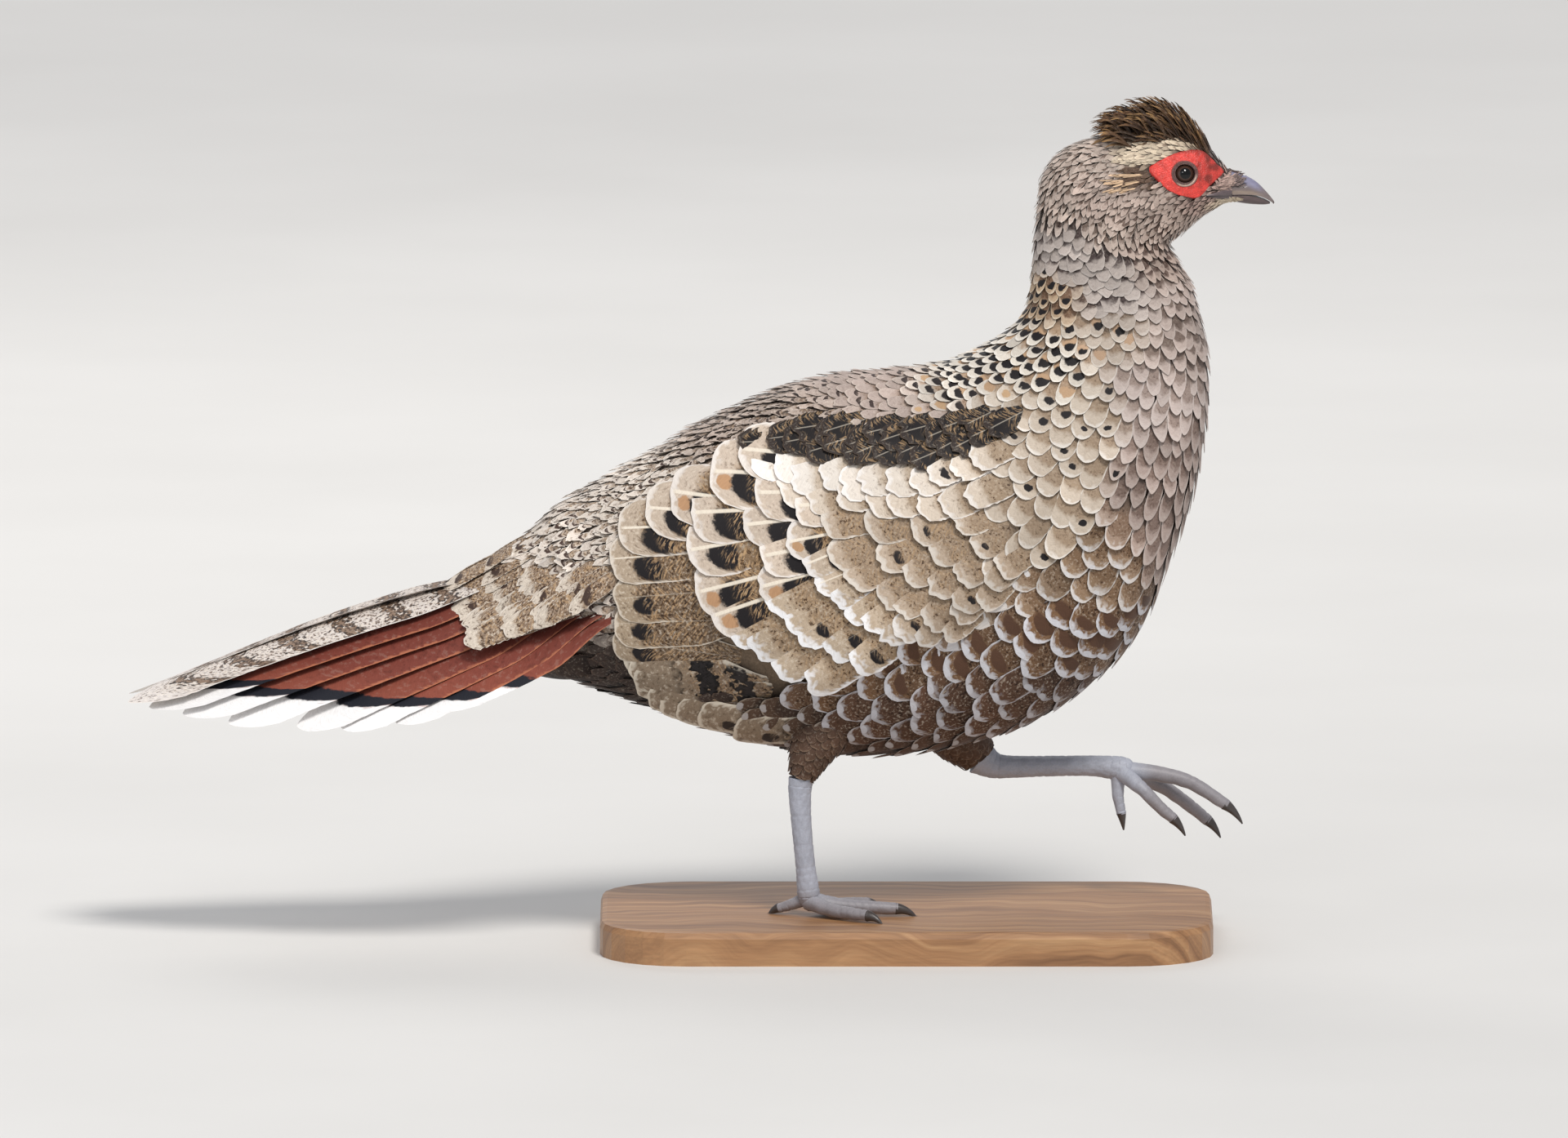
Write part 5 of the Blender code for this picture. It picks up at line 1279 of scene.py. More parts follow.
# Where the crest's feathers are rooted: stations, and radians off the back line.
CREST_STATIONS = (17.1, 19.45)
CREST_USUAL = 0.42
CREST_SPREAD = 0.82
# How far back its feathers reach, how far back at most, and their widths.
CREST_REACH = (8.0, 17.0)
CREST_REAR = (79.0, 86.0)
CREST_WIDTH = (1.0, 1.7)


def crest():
    """Fine loose feathers that rise off the crown and sweep back along the crest's outline."""
    n = CREST_COUNT
    station = RNG.uniform(*CREST_STATIONS, n)
    angle = np.clip(RNG.normal(0, CREST_USUAL, n), -CREST_SPREAD, CREST_SPREAD)
    place = np.column_stack(body_place(catmull(STATIONS, station).T, angle))
    root, normal = BODY_SURFACE.nearest(place)[:2]
    outline = np.array(CREST_OUTLINE)
    front = smooth(root[:, 0], 116, 134)
    back = RNG.uniform(*CREST_REACH, n) * (1 - 0.5 * front)
    tip_x = np.maximum(root[:, 0] - back, RNG.uniform(*CREST_REAR, n))
    crown = np.interp(tip_x, *np.array([(row[0], row[1]) for row in STATIONS[13:]]).T)
    top = np.interp(tip_x, outline[:, 0], outline[:, 1])
    ahead, behind = (np.interp(tip_x + step, outline[:, 0], outline[:, 1]) for step in (2, -2))
    slope = (ahead - behind) / 4
    stand = RNG.uniform(0.0, 1.0, n) ** 0.7
    side_drop = root[:, 1] ** 2 * (0.055 - 0.01 * stand)
    tip_z = crown + (top - crown) * stand - side_drop
    tip = np.column_stack([tip_x, root[:, 1] * (1.05 + 0.12 * stand) + RNG.normal(0, 0.5, n), tip_z])
    heading = np.arctan(-slope) + np.radians(RNG.uniform(-6, 14, n)) * stand
    reach = back * 0.5
    knee = tip + np.column_stack([np.cos(heading), np.zeros(n), -np.sin(heading)]) * reach[:, None]
    flat = root * (1, 1, 0) * 0.5 + tip * (1, 1, 0) * 0.5 + (root + normal) * (0, 0, 1)
    knee = np.where((knee - root)[:, 2:] < 0.6, flat, knee)
    start = root - normal * 0.8
    rows = 9
    u = np.linspace(0, 1, rows)[None, :, None]
    spine = start[:, None] * (1 - u) ** 2 + knee[:, None] * 2 * u * (1 - u) + tip[:, None] * u**2
    way = unit(tip - start)
    cross = unit(np.cross(normal + RNG.normal(0, 0.2, (n, 3)), way))
    face = unit(np.cross(way, cross))
    length = np.linalg.norm(np.diff(spine, axis=1), axis=2).sum(axis=1)
    batch = Vanes(rows, 4)
    style = style_for(row_style("crest", "crest_pale", RNG.random(n) ** 2.2), n, 0.2)
    patch = skin_patch(station, np.mod(angle, 2 * math.pi), len(STATIONS))
    width = RNG.uniform(*CREST_WIDTH, n)
    batch.add_free(
        spine, -cross, face, length, width, style, patch, camber=0.15, tip=1.6,
        power=(1.3, 1.1), root=0.6, taper=0.45,
    )
    batch.build("crest_feathers")


# Fine hair-like feathers: the pale streaks over the ear, and the small front of the forehead and
# lores that runs out onto the bill: style, count, centre, spread, length, width, and degrees
# below the horizontal. The streaks over the ear stand EAR_STAND mm above the others.
HAIR_TRACTS = (
    ("ear", 90, (99.0, 340.2), (5.0, 2.6), 9.0, 0.6, (-4, 16)),
    ("ear_hair", 15, (98.5, 342.6), (4.4, 0.5), 12.0, 0.5, (-2, 10)),
    ("ear_hair", 15, (98.0, 340.1), (4.4, 0.5), 12.0, 0.5, (4, 17)),
    ("ear_hair", 14, (96.5, 337.4), (4.2, 0.5), 11.0, 0.5, (10, 26)),
    ("ear", 110, (101.5, 345.2), (4.0, 0.8), 9.0, 0.9, (2, 14)),
    ("ear", 70, (108.4, 340.6), (1.2, 2.8), 5.0, 0.8, (24, 50)),
    ("brow", 70, (101.0, 349.4), (6.0, 1.2), 9.0, 0.8, (6, 18)),
    ("forehead", 190, (141.6, 343.6), (3.0, 0.8), 6.5, 0.6, (196, 222)),
    ("forehead", 90, (144.5, 338.6), (2.0, 1.6), 5.0, 0.5, (184, 206)),
    ("lores", 210, (139.6, 338.6), (2.4, 2.2), 5.0, 0.5, (176, 204)),
    ("brow", 70, (141.0, 330.6), (3.4, 0.7), 5.0, 0.7, (176, 190)),
)
EAR_STAND = 1.0


def face_hair():
    """Short hair-like feathers on both sides of the head, kept off the bare face."""
    batch = Vanes(7, 5)
    for kind, n, centre, spread, length, width, (low, high) in HAIR_TRACTS:
        high_up = EAR_STAND if kind == "ear_hair" else 0.0
        tip = np.array(centre) + RNG.normal(0, 1, (n, 2)) * np.array(spread) * 0.6
        degrees = RNG.uniform(low, high, n)
        long = length * RNG.uniform(0.7, 1.15, n)
        turn = np.radians(degrees)
        way = np.stack([-np.cos(turn), -np.sin(turn)], axis=1) * (long / 2)[:, None]
        clear = face_gap(*(tip - way).T) < -0.4
        tip, degrees, long, n = (tip + way)[clear], degrees[clear], long[clear], int(clear.sum())
        style = style_for(row_style(kind, kind, np.zeros(n)), n, 0.22)
        place, _ = on_side(SNOUT_SURFACE, tip, -8.0)
        station, angle = SNOUT_SURFACE.nearest(place)[3:]
        station = station + SNOUT_FIRST
        lift = (np.full(n, -0.5), RNG.uniform(0.4, 1.2, n) + high_up)
        batch.add_side(
            SNOUT_SURFACE, tip, degrees, long, np.full(n, width), lift, style,
            skin_patch(station, angle, len(STATIONS) + 3), camber=0.1, tip=1.6, power=(1.3, 1.1),
            root=0.5,
        )
    for side, flip in SIDES:
        batch.build("face_hair_" + side, (), flip < 0)


def down_material():
    """The skin's own down, in the colours of the feathers over it."""
    g = Graph("down")
    tint, _ = g.attribute("tint")
    fluff = g.noise(g.place(), 900.0, 3.0, 0.6)
    g.bump(fluff, 0.6, 0.0008)
    return g.surface(g.scaled(tint, g.plus(0.3, g.times(fluff, 0.7))), 0.85, Specular_IOR_Level=0.1)


DOWN = down_material()


def coat_tint(points):
    """The hidden colour of the feathers over each place."""
    return plumage_at(points[:, 0], points[:, 2])["field"]


# Depth of the skin below the tips of the coat, on the head and on the body.
HEAD_COAT = 1.3
BODY_COAT = 2.6


def skin():
    """The skin under the coat, which it stands inside by the coat's depth."""
    rows, cols = 240, 96
    surface = Surface(*body_grid(rows, cols))
    depth = HEAD_COAT + (BODY_COAT - HEAD_COAT) * smooth(-surface.station, -14.6, -11.0)
    depth *= 1 - 0.5 * smooth(surface.station, 18.5, 20.0)
    grid = (surface.points - surface.normal * depth[:, None]).reshape(rows, cols, 3)
    solids("skin", [grid], DOWN, ("torso", "neck", "head"), colour=coat_tint)


def side_frame(centre):
    """Place and outward normal of a side point of the head."""
    place, normal = on_side(BODY_SURFACE, np.array([centre]))
    return place[0], normal[0]


def frame_about(way):
    """Two directions at right angles to a way."""
    a = unit(np.cross((0.0, 0.0, 1.0), way))
    return a, np.cross(way, a)


def eye_material():
    """Black pupil in a dark brown rayed iris under a clear wet coat."""
    g = Graph("eye")
    polar, around, _ = g.split(g.uv("fuv"))
    rays = g.noise(g.join(g.times(around, 60.0), g.times(polar, 6.0), 0.0), 1.0, 3.0)
    pupil, rim = (0.002, 0.002, 0.002), (0.010, 0.006, 0.005)
    iris = g.ramp(polar, (0.0, pupil), (0.145, pupil), (0.16, (0.055, 0.026, 0.017)),
                  (0.27, (0.042, 0.021, 0.015)), (0.33, rim))
    colour = g.scaled(iris, g.plus(0.55, g.times(rays, 0.9)))
    return g.surface(colour, 0.5, Coat_Weight=0.8, Coat_Roughness=0.02, Coat_IOR=1.5,
                     Specular_IOR_Level=0.0)


# The cornea's dome: its rise in eye radii and its reach in radians.
CORNEA = 0.05
CORNEA_REACH = 0.5


def eyes():
    """Eyeballs with a slightly domed cornea, each iris round the way the eye looks."""
    place, look = side_frame(EYE_CENTRE)
    centre = place + look * (EYE_PROUD - EYE_RADIUS)
    a, b = frame_about(look)
    rows, cols = 40, 48
    polar = np.linspace(0.01, math.pi - 0.01, rows)[:, None]
    turn = np.linspace(0, 2 * math.pi, cols, endpoint=False)[None]
    radius = EYE_RADIUS * (1 + CORNEA * np.exp(-((polar / CORNEA_REACH) ** 2)))
    out = np.sin(polar)[..., None] * (np.cos(turn)[..., None] * a + np.sin(turn)[..., None] * b)
    grid = centre + radius[..., None] * (out + np.cos(polar)[..., None] * look)
    material = eye_material()
    for side, flip in SIDES:
        obj = solids("eyeball_" + side, [grid * (1, flip, 1)], material, ("eye_" + side,))
        local = np.array([v.co[:] for v in obj.data.vertices]) / MM * (1, flip, 1) - centre
        height = np.clip(unit(local) @ look, -1, 1)
        around = np.arctan2(local @ b, local @ a) / (2 * math.pi) + 0.5
        chart = np.column_stack([np.arccos(height) / math.pi, around])
        loops = np.empty(len(obj.data.loops), np.int32)
        obj.data.loops.foreach_get("vertex_index", loops)
        layer = obj.data.uv_layers.new(name="fuv")
        layer.data.foreach_set("uv", chart[loops].ravel().astype(np.float32))


def red_skin_material():
    """Bare skin: fine warts in the stored tint."""
    g = Graph("red_skin")
    tint, _ = g.attribute("tint")
    grain = g.cells(g.place(), 1500.0)
    patch = g.noise(g.place(), 260.0, 2.0)
    colour = g.scaled(tint, g.plus(g.times(patch, 0.5), g.plus(0.55, g.times(grain, 0.45))))
    g.bump(grain, 0.5, 0.0005)
    return g.surface(colour, 0.42, Subsurface_Weight=0.15, Subsurface_Scale=0.001,
                     Specular_IOR_Level=0.4)


def face_tint(points):
    """Coral behind and below the eye, darker and browner red in front of it and along the top."""
    bright, deep = srgb(222, 70, 62), srgb(128, 44, 36)
    x, z = points[:, 0], points[:, 2]
    mottled = np.clip(0.5 + 0.9 * ripple(x, z, 0.9, 31), 0.0, 1.0)
    front = smooth(x, 125.0, 130.0) * smooth(-x, -140.0, -136.0) * smooth(z, 335.5, 339.0)
    share = np.maximum(front * (0.35 + 0.65 * mottled), 0.8 * smooth(z, 351.0, 353.2))
    share = np.maximum(share, 0.25 * mottled)[:, None]
    return bright * (1 - share) + deep * share


def lid_tint(points):
    """Dark lids with a pale line low round the eye and a redder outer edge."""
    dark, pale, outer = srgb(104, 78, 74), srgb(206, 186, 170), srgb(150, 66, 58)
    x, z = points[:, 0] - EYE_CENTRE[0], points[:, 2] - EYE_CENTRE[1]
    away = np.hypot(x, z)
    low = smooth(0.4 * x - z, 1.5, 4.0)
    thin = np.exp(-(((away - 5.1) / 0.42) ** 2)) * low
    rim = smooth(away, 5.5, 6.1)[:, None]
    colour = dark * (1 - rim) + outer * rim
    return colour * (1 - thin[:, None]) + pale * thin[:, None]


# How deep the red skin's inner face lies.
RED_SKIN_DEPTH = 1.2


def face():
    """The bare red skin round each eye, and the pale ringed eyelids."""
    columns, rings = 128, 26
    inner = LID_REACH
    turn = np.linspace(0, 2 * math.pi, columns, endpoint=False)
    closed = np.array(FACE_OUTLINE + FACE_OUTLINE[:3])
    loop = catmull(closed, np.linspace(1, len(FACE_OUTLINE) + 1, 400, endpoint=False))
    loop = loop - np.array(EYE_CENTRE)
    heading = np.arctan2(loop[:, 1], loop[:, 0])
    order = np.argsort(heading)
    reach = np.interp(
        np.mod(turn + math.pi, 2 * math.pi) - math.pi,
        heading[order], np.hypot(loop[:, 0], loop[:, 1])[order], period=2 * math.pi,
    )
    share = np.linspace(0, 1, rings)[:, None]
    radius = inner + (reach - inner)[None] * share
    x = EYE_CENTRE[0] + radius * np.cos(turn)
    z = EYE_CENTRE[1] + radius * np.sin(turn)
    place, normal = on_side(BODY_SURFACE, np.stack([x.ravel(), z.ravel()], axis=1))
    rise = 0.55 * (1 - smooth(share, 0.86, 1.0)) - 0.5 * smooth(share, 0.9, 1.0)
    rise = rise + 0.13 * ripple(x, z, 0.55, 3)
    top = (place + normal * rise.reshape(-1, 1)).reshape(rings, columns, 3)
    under = (place - normal * RED_SKIN_DEPTH).reshape(rings, columns, 3)
    skin_red = red_skin_material()
    eye_at, look = side_frame(EYE_CENTRE)
    a, b = frame_about(look)
    profile = np.array([
        (4.35, 0.9), (4.45, 1.3), (4.6, 1.45), (4.8, 1.3), (4.9, 1.1), (5.05, 1.2), (5.25, 1.25),
        (5.4, 1.0), (5.5, 0.85), (5.65, 0.95), (5.85, 0.85), (6.05, 0.5), (6.2, 0.2), (6.1, -1.2),
        (4.5, -1.2),
    ])
    places = np.linspace(0, len(profile), 60, endpoint=False)
    profile = catmull(np.vstack([profile, profile[:1]]), places)
    squeeze = 1 - 0.07 * np.abs(np.sin(turn))
    out = np.cos(turn)[:, None] * a + (np.sin(turn) * squeeze)[:, None] * b
    fold = 1 + 0.012 * ripple(np.cos(turn) * 4, np.sin(turn) * 4, 0.5, 5)
    ring = eye_at + out[None] * (profile[:, :1] * fold)[..., None] + look * profile[:, 1][:, None, None]
    patch = np.concatenate([top, under[::-1]])
    for side, flip in SIDES:
        for name, grid, tint in (("red_skin_", patch, face_tint), ("eyelids_", ring, lid_tint)):
            grids = [grid * (1, flip, 1)]
            solids(name + side, grids, skin_red, ring=True, colour=tint)


# The bill seen from the side: ridge, cut above the mouth and half widths, the same for the lower
# half, and the middle of the nostril with its dent and the flap over it.
BILL_TOP = (
    (142.2, 342.6), (147.0, 341.0), (150.5, 339.8), (154.4, 337.3), (158.6, 333.0), (161.2, 329.8),
    (161.9, 328.6),
)
BILL_CUT = (
    (142.6, 332.5), (147.0, 332.5), (150.5, 332.4), (154.4, 331.9), (157.8, 330.6), (160.6, 328.9),
    (161.5, 327.9),
)
BILL_HALF = (5.2, 4.5, 4.0, 3.3, 2.3, 1.3, 0.7)
JAW_TOP = ((142.6, 332.1), (147.0, 332.1), (152.0, 331.7), (157.0, 330.2), (160.0, 328.8))
JAW_LOW = ((142.9, 329.3), (147.0, 328.4), (152.0, 327.8), (157.0, 327.6), (159.8, 327.9))
JAW_HALF = (5.0, 4.2, 3.2, 1.9, 0.6)
NOSTRIL = (147.4, 336.9)
NOSTRIL_DENT = 1.3
NOSTRIL_FLAP = 0.35


def horn_material():
    """Horn of bill and claws, with grain along its length."""
    g = Graph("horn")
    tint, _ = g.attribute("tint")
    x, y, z = g.split(g.place())
    layers = g.noise(g.join(g.times(x, 0.25), y, z), 900.0, 3.0)
    g.bump(layers, 0.25, 0.0004)
    return g.surface(g.scaled(tint, g.plus(0.7, g.times(layers, 0.6))), 0.34, Specular_IOR_Level=0.5)


HORN = horn_material()


def bill_tint(points):
    """Bluish violet ridge lightened by a painted highlight, brown-grey sides, a tan streak over the
    mouth and a lower half darkened by painted shade.
    """
    # dark is painted shade of the bill's underside; ridge is the ridge's own bluish violet lightened by
    # a painted highlight.
    dark, side = srgb(92, 78, 78), srgb(120, 108, 106)
    ridge, tan = srgb(132, 130, 154), srgb(156, 138, 122)
    x, z = points[:, 0:1], points[:, 2:3]
    middle = 336.6 - 0.42 * np.maximum(x - 148.0, 0.0)
    top = smooth(z - middle, -0.8, 2.2) * smooth(-x, -159.0, -153.0)
    mouth = np.interp(x, [p[0] for p in JAW_TOP], [p[1] for p in JAW_TOP])
    streak = np.exp(-(((z - mouth - 1.5) / 0.8) ** 2)) * smooth(-x, -158.0, -152.0)
    # The lower half takes the painted shade.
    low = smooth(mouth + 0.5 - z, 0.0, 0.6)
    colour = side * (1 - top) + ridge * top
    colour = colour * (1 - 0.7 * streak) + tan * 0.7 * streak
    return colour * (1 - low) + dark * low


def half_oval(top, low, half, rows, sides):
    """Rings of one half of the bill: flat where the halves meet."""
    s = np.linspace(0, len(top) - 1, rows)
    flat = catmull(low, s)
    high = catmull(top, s)
    wide = catmull(np.array(half)[:, None], s)[:, 0]
    angle = np.linspace(0, math.pi, sides)
    lift = np.sin(angle) ** 0.9
    x = flat[:, :1] + (high - flat)[:, :1] * lift
    z = flat[:, 1:] + (high - flat)[:, 1:] * lift
    y = np.maximum(wide, 0.25)[:, None] * np.cos(angle)
    return np.stack([x, y, z], axis=2)


def bill():
    """Both halves of the bill, with a flap over each nostril and the dent below it."""
    upper = half_oval(BILL_TOP, BILL_CUT, BILL_HALF, 70, 49)
    x, z = upper[..., 0] - NOSTRIL[0], upper[..., 2] - NOSTRIL[1]
    dent = np.exp(-(((x / 2.1) ** 2 + (z / 0.75) ** 2) ** 2))
    flap = np.exp(-(((x + 0.3) / 3.0) ** 2 + ((z - 1.5) / 1.1) ** 2))
    upper[..., 1] += np.sign(upper[..., 1]) * (NOSTRIL_FLAP * flap - NOSTRIL_DENT * dent)
    lower = half_oval(JAW_LOW, JAW_TOP, JAW_HALF, 50, 33)
    for node, grid in (("bill_upper", upper), ("bill_lower", lower)):
        solids(node + "_horn", [grid], HORN, (node,), colour=bill_tint)


# The line of the bare mouth corner, seen from the side.
MOUTH_CORNER = (131.6, 333.0)
MOUTH_FRONT = (143.2, 332.4)


def gape_tint(points):
    """Dark horn skin with the line of the mouth along its middle."""
    x, z = points[:, 0], points[:, 2]
    share = (x - MOUTH_CORNER[0]) / (MOUTH_FRONT[0] - MOUTH_CORNER[0])
    line = MOUTH_CORNER[1] + (MOUTH_FRONT[1] - MOUTH_CORNER[1]) * share
    cut = np.exp(-(((z - line) / 0.28) ** 2))[:, None]
    return srgb(96, 84, 86) * (1 - cut) + srgb(34, 28, 29) * cut


def gape():
    """The bare corner of the mouth behind the bill, on each cheek."""
    rows, cols = 24, 20
    share = np.linspace(0, 1, rows)
    angle = np.linspace(0, 2 * math.pi, cols, endpoint=False)
    half = 0.35 + 2.6 * share
    x = MOUTH_CORNER[0] + (MOUTH_FRONT[0] - MOUTH_CORNER[0]) * share
    z = MOUTH_CORNER[1] + (MOUTH_FRONT[1] - MOUTH_CORNER[1]) * share + 0.25 * half
    flat = np.stack([np.repeat(x, cols), (z[:, None] + half[:, None] * np.cos(angle)).ravel()], axis=1)
    place, normal = on_side(BODY_SURFACE, flat, -8.0)
    dent = 0.35 * np.exp(-((np.cos(angle) + 0.25) / 0.15) ** 2)
    rise = (0.85 * np.sin(angle) - dent * (np.sin(angle) > 0))[None] * np.minimum(half, 1.0)[:, None]
    grid = (place + normal * rise.reshape(-1, 1)).reshape(rows, cols, 3)
    for side, flip in SIDES:
        solids("mouth_corner_" + side, [grid * (1, flip, 1)], HORN, colour=gape_tint)


# Limbs and toes as (x, y, z, radius) from the body outwards. The left leg is raised.
THIGH_RIGHT = (
    (-27.0, -19.0, 116.0, 14.0), (-35.0, -23.5, 101.0, 13.5), (-42.5, -27.2, 87.0, 9.4),
    (-46.4, -28.0, 76.5, 5.6),
)
SHANK_RIGHT = (
    (-47.0, -28.0, 70.0, 5.0), (-46.3, -28.0, 56.0, 4.4), (-44.6, -28.0, 38.0, 4.3),
    (-43.3, -28.0, 26.0, 4.9),
)
THIGH_LEFT = (
    (4.0, 20.0, 116.0, 17.0), (14.0, 24.0, 101.0, 17.0), (25.0, 28.0, 86.0, 12.5),
    (32.0, 29.6, 77.5, 8.0),
)
SHANK_LEFT = (
    (38.5, 30.0, 73.8, 5.9), (46.0, 30.0, 73.0, 4.9), (64.0, 30.0, 73.3, 4.5),
    (82.0, 30.0, 73.4, 4.5), (93.0, 30.0, 72.4, 5.3),
)
TOES_RIGHT = {
    "middle": (
        (-43.0, -28.0, 21.5, 4.4), (-29.0, -28.5, 19.5, 3.4), (-17.0, -29.0, 18.9, 3.0),
        (-5.0, -29.2, 18.4, 2.6),
    ),
    "inner": (
        (-43.0, -27.5, 21.5, 4.0), (-33.0, -20.0, 19.0, 3.0), (-24.0, -14.0, 18.5, 2.7),
        (-17.5, -10.0, 18.1, 2.4),
    ),
    "outer": (
        (-43.0, -28.5, 21.5, 4.0), (-33.5, -37.0, 19.0, 3.0), (-25.0, -43.5, 18.5, 2.7),
        (-17.5, -48.0, 18.1, 2.4),
    ),
    "hind": (
        (-43.0, -27.5, 23.5, 3.4), (-50.0, -25.0, 20.0, 2.5), (-56.0, -23.0, 17.9, 2.1),
    ),
}
TOES_LEFT = {
    "middle": (
        (96.0, 30.0, 71.0, 4.5), (112.0, 30.0, 69.6, 3.5), (126.0, 30.0, 65.7, 3.1),
        (140.5, 30.0, 56.5, 2.6),
    ),
    "inner": (
        (95.5, 28.0, 70.5, 4.0), (104.5, 21.0, 64.0, 3.0), (111.5, 20.0, 56.8, 2.7),
        (117.6, 20.0, 51.5, 2.4),
    ),
    "outer": (
        (96.5, 32.0, 70.5, 4.2), (112.0, 39.0, 63.5, 3.2), (124.0, 41.5, 55.0, 2.9),
        (133.0, 42.0, 47.6, 2.5),
    ),
    "hind": (
        (93.5, 29.0, 70.0, 3.4), (93.6, 28.0, 60.0, 2.5), (95.0, 27.8, 53.0, 2.1),
    ),
}
CLAW_LENGTH = {"middle": 11.0, "inner": 8.5, "outer": 9.0, "hind": 6.5}
# The standing foot's underside, just above the top of the base.
FLOOR_OF_TOES = 15.3
# Length of a scute along a limb.
SCUTE = 3.3


def scaled_limb(path, rows, cols, around, relief=0.3):
    """A limb's surface with overlapping scutes: around counts them round the limb."""
    grid, angle = tube_grid(path, rows, cols)
    centre = grid.mean(axis=1, keepdims=True)
    step = np.linalg.norm(np.diff(centre[:, 0], axis=0), axis=1)
    s = (np.concatenate([[0], np.cumsum(step)]) / SCUTE)[:, None]
    turn = (angle / (2 * math.pi))[None]
    front = smooth(np.sin(angle), -0.35, 0.15)[None]
    if around:
        c = turn * around + 0.5 * (np.floor(s) % 2)
        across = np.abs(c - np.floor(c) - 0.5) * 2
    else:
        across = np.zeros_like(turn + s)
    along = s - np.floor(s)
    plate = (1 - np.clip(across, 0, 1) ** 6) * smooth(along, 0.0, 0.22) * (1 - 0.35 * along)
    pads = 0.5 + 0.5 * np.cos(2 * math.pi * s * SCUTE / 9.0)
    grain = ripple(*np.broadcast_arrays(turn * 60, s * 3.0), 1.0, 9)
    behind = plate if around else 0.6 * pads + 0.25 * grain
    height = relief * (plate * front + (1 - front) * behind)
    out = unit(grid - centre)
    return grid + out * (height - relief * 0.5)[..., None]


# Rings beyond the end of a limb that round it: how far out and how wide, in radii.
END_RINGS = ((0.45, 0.86), (0.75, 0.55), (0.88, 0.15))


def round_end(path):
    """The path with a rounded tip beyond its last row."""
    path = np.asarray(path, float)
    way = unit(path[-1, :3] - path[-2, :3])
    size = path[-1, 3]
    ends = [(*(path[-1, :3] + way * size * out), size * wide) for out, wide in END_RINGS]
    return np.vstack([path, ends])


def claw_grid(toe, length):
    """A claw that leaves the tip of a toe and curves down to a point."""
    toe = np.asarray(toe, float)
    way = unit(toe[-1, :3] - toe[-2, :3])
    t = np.linspace(0, 1, 24)[:, None]
    drop = np.array([0, 0, -0.35 * length]) * t**2
    centre = toe[-1, :3] + way * (length * t * (1 - 0.15 * t) + 0.3) + drop
    radius = toe[-1, 3] * 0.92 * (1 - t) ** 0.9 + 0.3
    grid, _ = tube_grid(np.hstack([centre, radius]), 30, 20)
    return grid


def scale_material():
    """Dull scales of the legs in the stored tint."""
    g = Graph("scales")
    place = g.place()
    tone = g.noise(place, 160.0, 3.0)
    fine = g.noise(place, 1400.0, 2.0)
    tint, _ = g.attribute("tint")
    colour = g.scaled(tint, g.plus(0.62, g.times(g.plus(tone, fine), 0.38)))
    g.bump(fine, 0.25, 0.0003)
    return g.surface(colour, 0.48, Specular_IOR_Level=0.4)


def leg_tint(points):
    """Blue-grey, a little darker on the toes."""
    shank, toes = srgb(164, 167, 178), srgb(138, 134, 138)
    low = smooth(-points[:, 2], -30.0, -20.0)[:, None]
    far = smooth(points[:, 0], 98.0, 112.0)[:, None]
    share = np.maximum(low, far)
    return shank * (1 - share) + toes * share


def claw_tint(points):
    """One dark brown-grey."""
    return np.tile(srgb(66, 60, 58), (len(points), 1))


def legs():
    """Scaled shanks and toes, dark claws and the short feathers of the thighs."""
    scales = scale_material()
    for side, thigh, shank, toes, level in (
        ("right", THIGH_RIGHT, SHANK_RIGHT, TOES_RIGHT, FLOOR_OF_TOES),
        ("left", THIGH_LEFT, SHANK_LEFT, TOES_LEFT, None),
    ):
        shank = np.vstack([thigh[-1], shank])
        ball = shank[-1] + np.append(unit(shank[-1, :3] - shank[-2, :3]) * 3.5, -0.3)
        grids = [scaled_limb(round_end(np.vstack([shank, ball])), 170, 48, 8)]
        grids += [scaled_limb(round_end(path), 90, 28, 0, 0.35) for path in toes.values()]
        claws = [claw_grid(path, CLAW_LENGTH[toe]) for toe, path in toes.items()]
        if level:
            for grid in grids + claws:
                grid[..., 2] = np.maximum(grid[..., 2], level)
        nodes = ("shank_" + side, "foot_" + side)
        solids("leg_" + side, grids, scales, nodes, colour=leg_tint)
        nodes = tuple(f"claw_{side}_{toe}" for toe in toes)
        solids("claws_" + side, claws, HORN, nodes, colour=claw_tint)
        thigh_feathers(side, thigh)


# Depth of the thigh's skin below its feathers.
THIGH_COAT = 1.4


def thigh_feathers(side, path):
    """The short feathers of one thigh, over a skin of their own."""
    grid, angle = tube_grid(path, 60, 40)
    surface = Surface(grid, np.linspace(0, 1, len(grid)), angle, flip_lie=False)
    core = (surface.points - surface.normal * THIGH_COAT).reshape(grid.shape)
    nodes = ("thigh_" + side,)
    solids("thigh_skin_" + side, [core], DOWN, nodes, colour=coat_tint)
    spacing = 4.6
    roots = scatter(
        surface, lambda p: np.full(len(p), spacing), 1.1, lambda p: np.ones(len(p)), mirror=False,
    )
    roots, normal, lie, station, turn = surface.nearest(roots)
    n = len(roots)
    length = spacing * 2.4 * RNG.uniform(0.9, 1.1, n) * (1 - 0.3 * smooth(station, 0.7, 1.0))
    width = spacing * 1.3 * RNG.uniform(0.9, 1.1, n)
    style = style_for(row_style("thigh", "thigh", np.zeros(n)), n, 0.1)
    patch = np.column_stack([station * 0.99, turn / (2 * math.pi) * 0.99, np.full((n, 2), 0.003)])
    batch = Vanes(8, 7)
    start = roots - lie * (length * 0.6)[:, None]
    lift = (np.full(n, -THIGH_COAT), RNG.uniform(0.3, 0.8, n))
    batch.add_on(surface, start, lie, normal, length, width, lift, style, patch)
    batch.build("thigh_feathers_" + side)


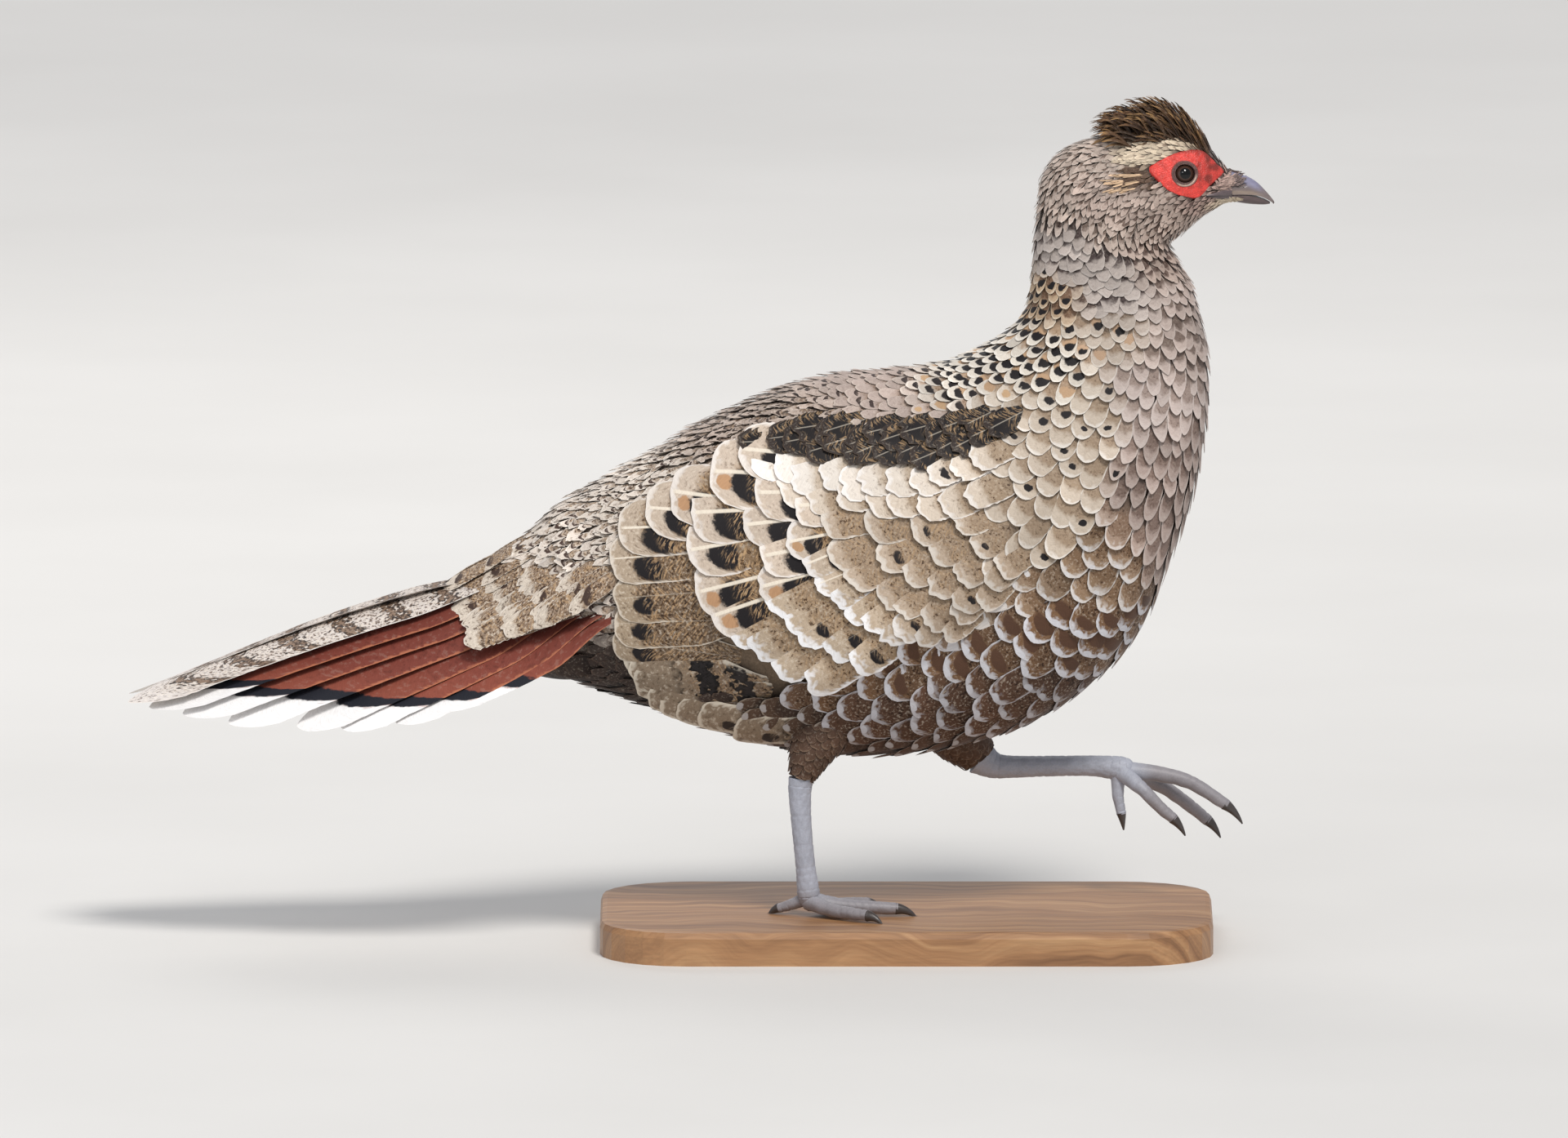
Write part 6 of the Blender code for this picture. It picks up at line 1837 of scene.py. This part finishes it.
def wood():
    """The display base: oiled wood with grain along its length."""
    g = Graph("wood")
    x, y, z = g.split(g.place())
    warp = g.noise(g.place(), 9.0, 3.0)
    rings = g.plus(g.times(y, 90.0), g.plus(g.times(z, 60.0), g.times(warp, 7.0)))
    grain = g.noise(g.join(g.times(x, 6.0), g.times(rings, 1.6), 0.0), 1.0, 4.0, 0.6)
    pores = g.noise(g.join(g.times(x, 60.0), g.times(y, 900.0), g.times(z, 900.0)), 1.0, 2.0)
    colour = g.ramp(grain, (0.28, srgb(112, 76, 48)), (0.5, srgb(158, 116, 78)),
                    (0.72, srgb(184, 144, 102)))
    colour = g.scaled(colour, g.plus(0.75, g.times(pores, 0.5)))
    g.bump(g.plus(pores, grain), 0.12, 0.0004)
    rough = g.plus(0.36, g.times(pores, 0.2))
    material = g.surface(colour, rough, Coat_Weight=0.15, Coat_Roughness=0.3)
    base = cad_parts["stand_base"]
    base.data.materials.clear()
    base.data.materials.append(material)


def looking(way):
    """The rotation of a camera or light that looks along a direction."""
    return Vector(way).to_track_quat("-Z", "Y").to_euler()


def camera_and_light():
    """The photograph's view, a pale floor and soft studio light."""
    target = Vector([c * MM for c in FRAME_CENTRE])
    distance = CAMERA_DISTANCE * MM
    camera = link("camera", bpy.data.cameras.new("camera"))
    camera.data.sensor_width = SENSOR
    camera.data.lens = SENSOR * CAMERA_DISTANCE / FRAME_WIDTH
    camera.data.clip_end = 100.0
    camera.location = target + Vector((0.0, -math.cos(CAMERA_TILT), math.sin(CAMERA_TILT))) * distance
    camera.rotation_euler = looking(target - camera.location)
    bpy.context.scene.camera = camera
    sun = link("key", bpy.data.lights.new("key", "SUN"))
    sun.data.energy = 2.3
    sun.data.angle = math.radians(16.0)
    sun.data.color = (1.0, 0.97, 0.93)
    sun.rotation_euler = looking((-0.30, 0.80, -1.15))
    for name, place, size, power, colour in (
        ("fill", (-1.8, -1.6, 0.9), 1.6, 4.5, (0.93, 0.96, 1.0)),
        ("catch", (-0.4, -1.7, 1.35), 0.5, 4.0, (1.0, 1.0, 1.0)),
        ("rim", (-0.6, 1.7, 1.7), 1.2, 12.0, (1.0, 0.98, 0.95)),
    ):
        light = link(name, bpy.data.lights.new(name, "AREA"))
        light.data.size = size
        light.data.energy = power
        light.data.color = colour
        light.location = place
        light.rotation_euler = looking(Vector((0, 0, 0.16)) - light.location)
    world = bpy.data.worlds.new("studio")
    world.use_nodes = True
    sky = world.node_tree.nodes["Background"].inputs
    sky["Color"].default_value = (0.90, 0.93, 1.0, 1.0)
    sky["Strength"].default_value = 0.45
    bpy.context.scene.world = world
    bpy.context.scene.view_settings.view_transform = "Standard"
    g = Graph("floor")
    grain = g.noise(g.place(), 3.0, 4.0)
    material = g.surface(g.ramp(grain, (0.3, (0.66, 0.65, 0.63)), (0.7, (0.70, 0.69, 0.67))), 0.8)
    half = FLOOR / 2
    mesh = bpy.data.meshes.new("floor")
    corners = [(-half, -half, 0), (half, -half, 0), (half, half, 0), (-half, half, 0)]
    mesh.from_pydata(corners, [], [(0, 1, 2, 3)])
    mesh.materials.append(material)
    floor = link("floor", mesh)


camera_and_light()
skin()
body_coat()
wings()
tail()
crest()
face_hair()
face()
eyes()
bill()
gape()
legs()
wood()
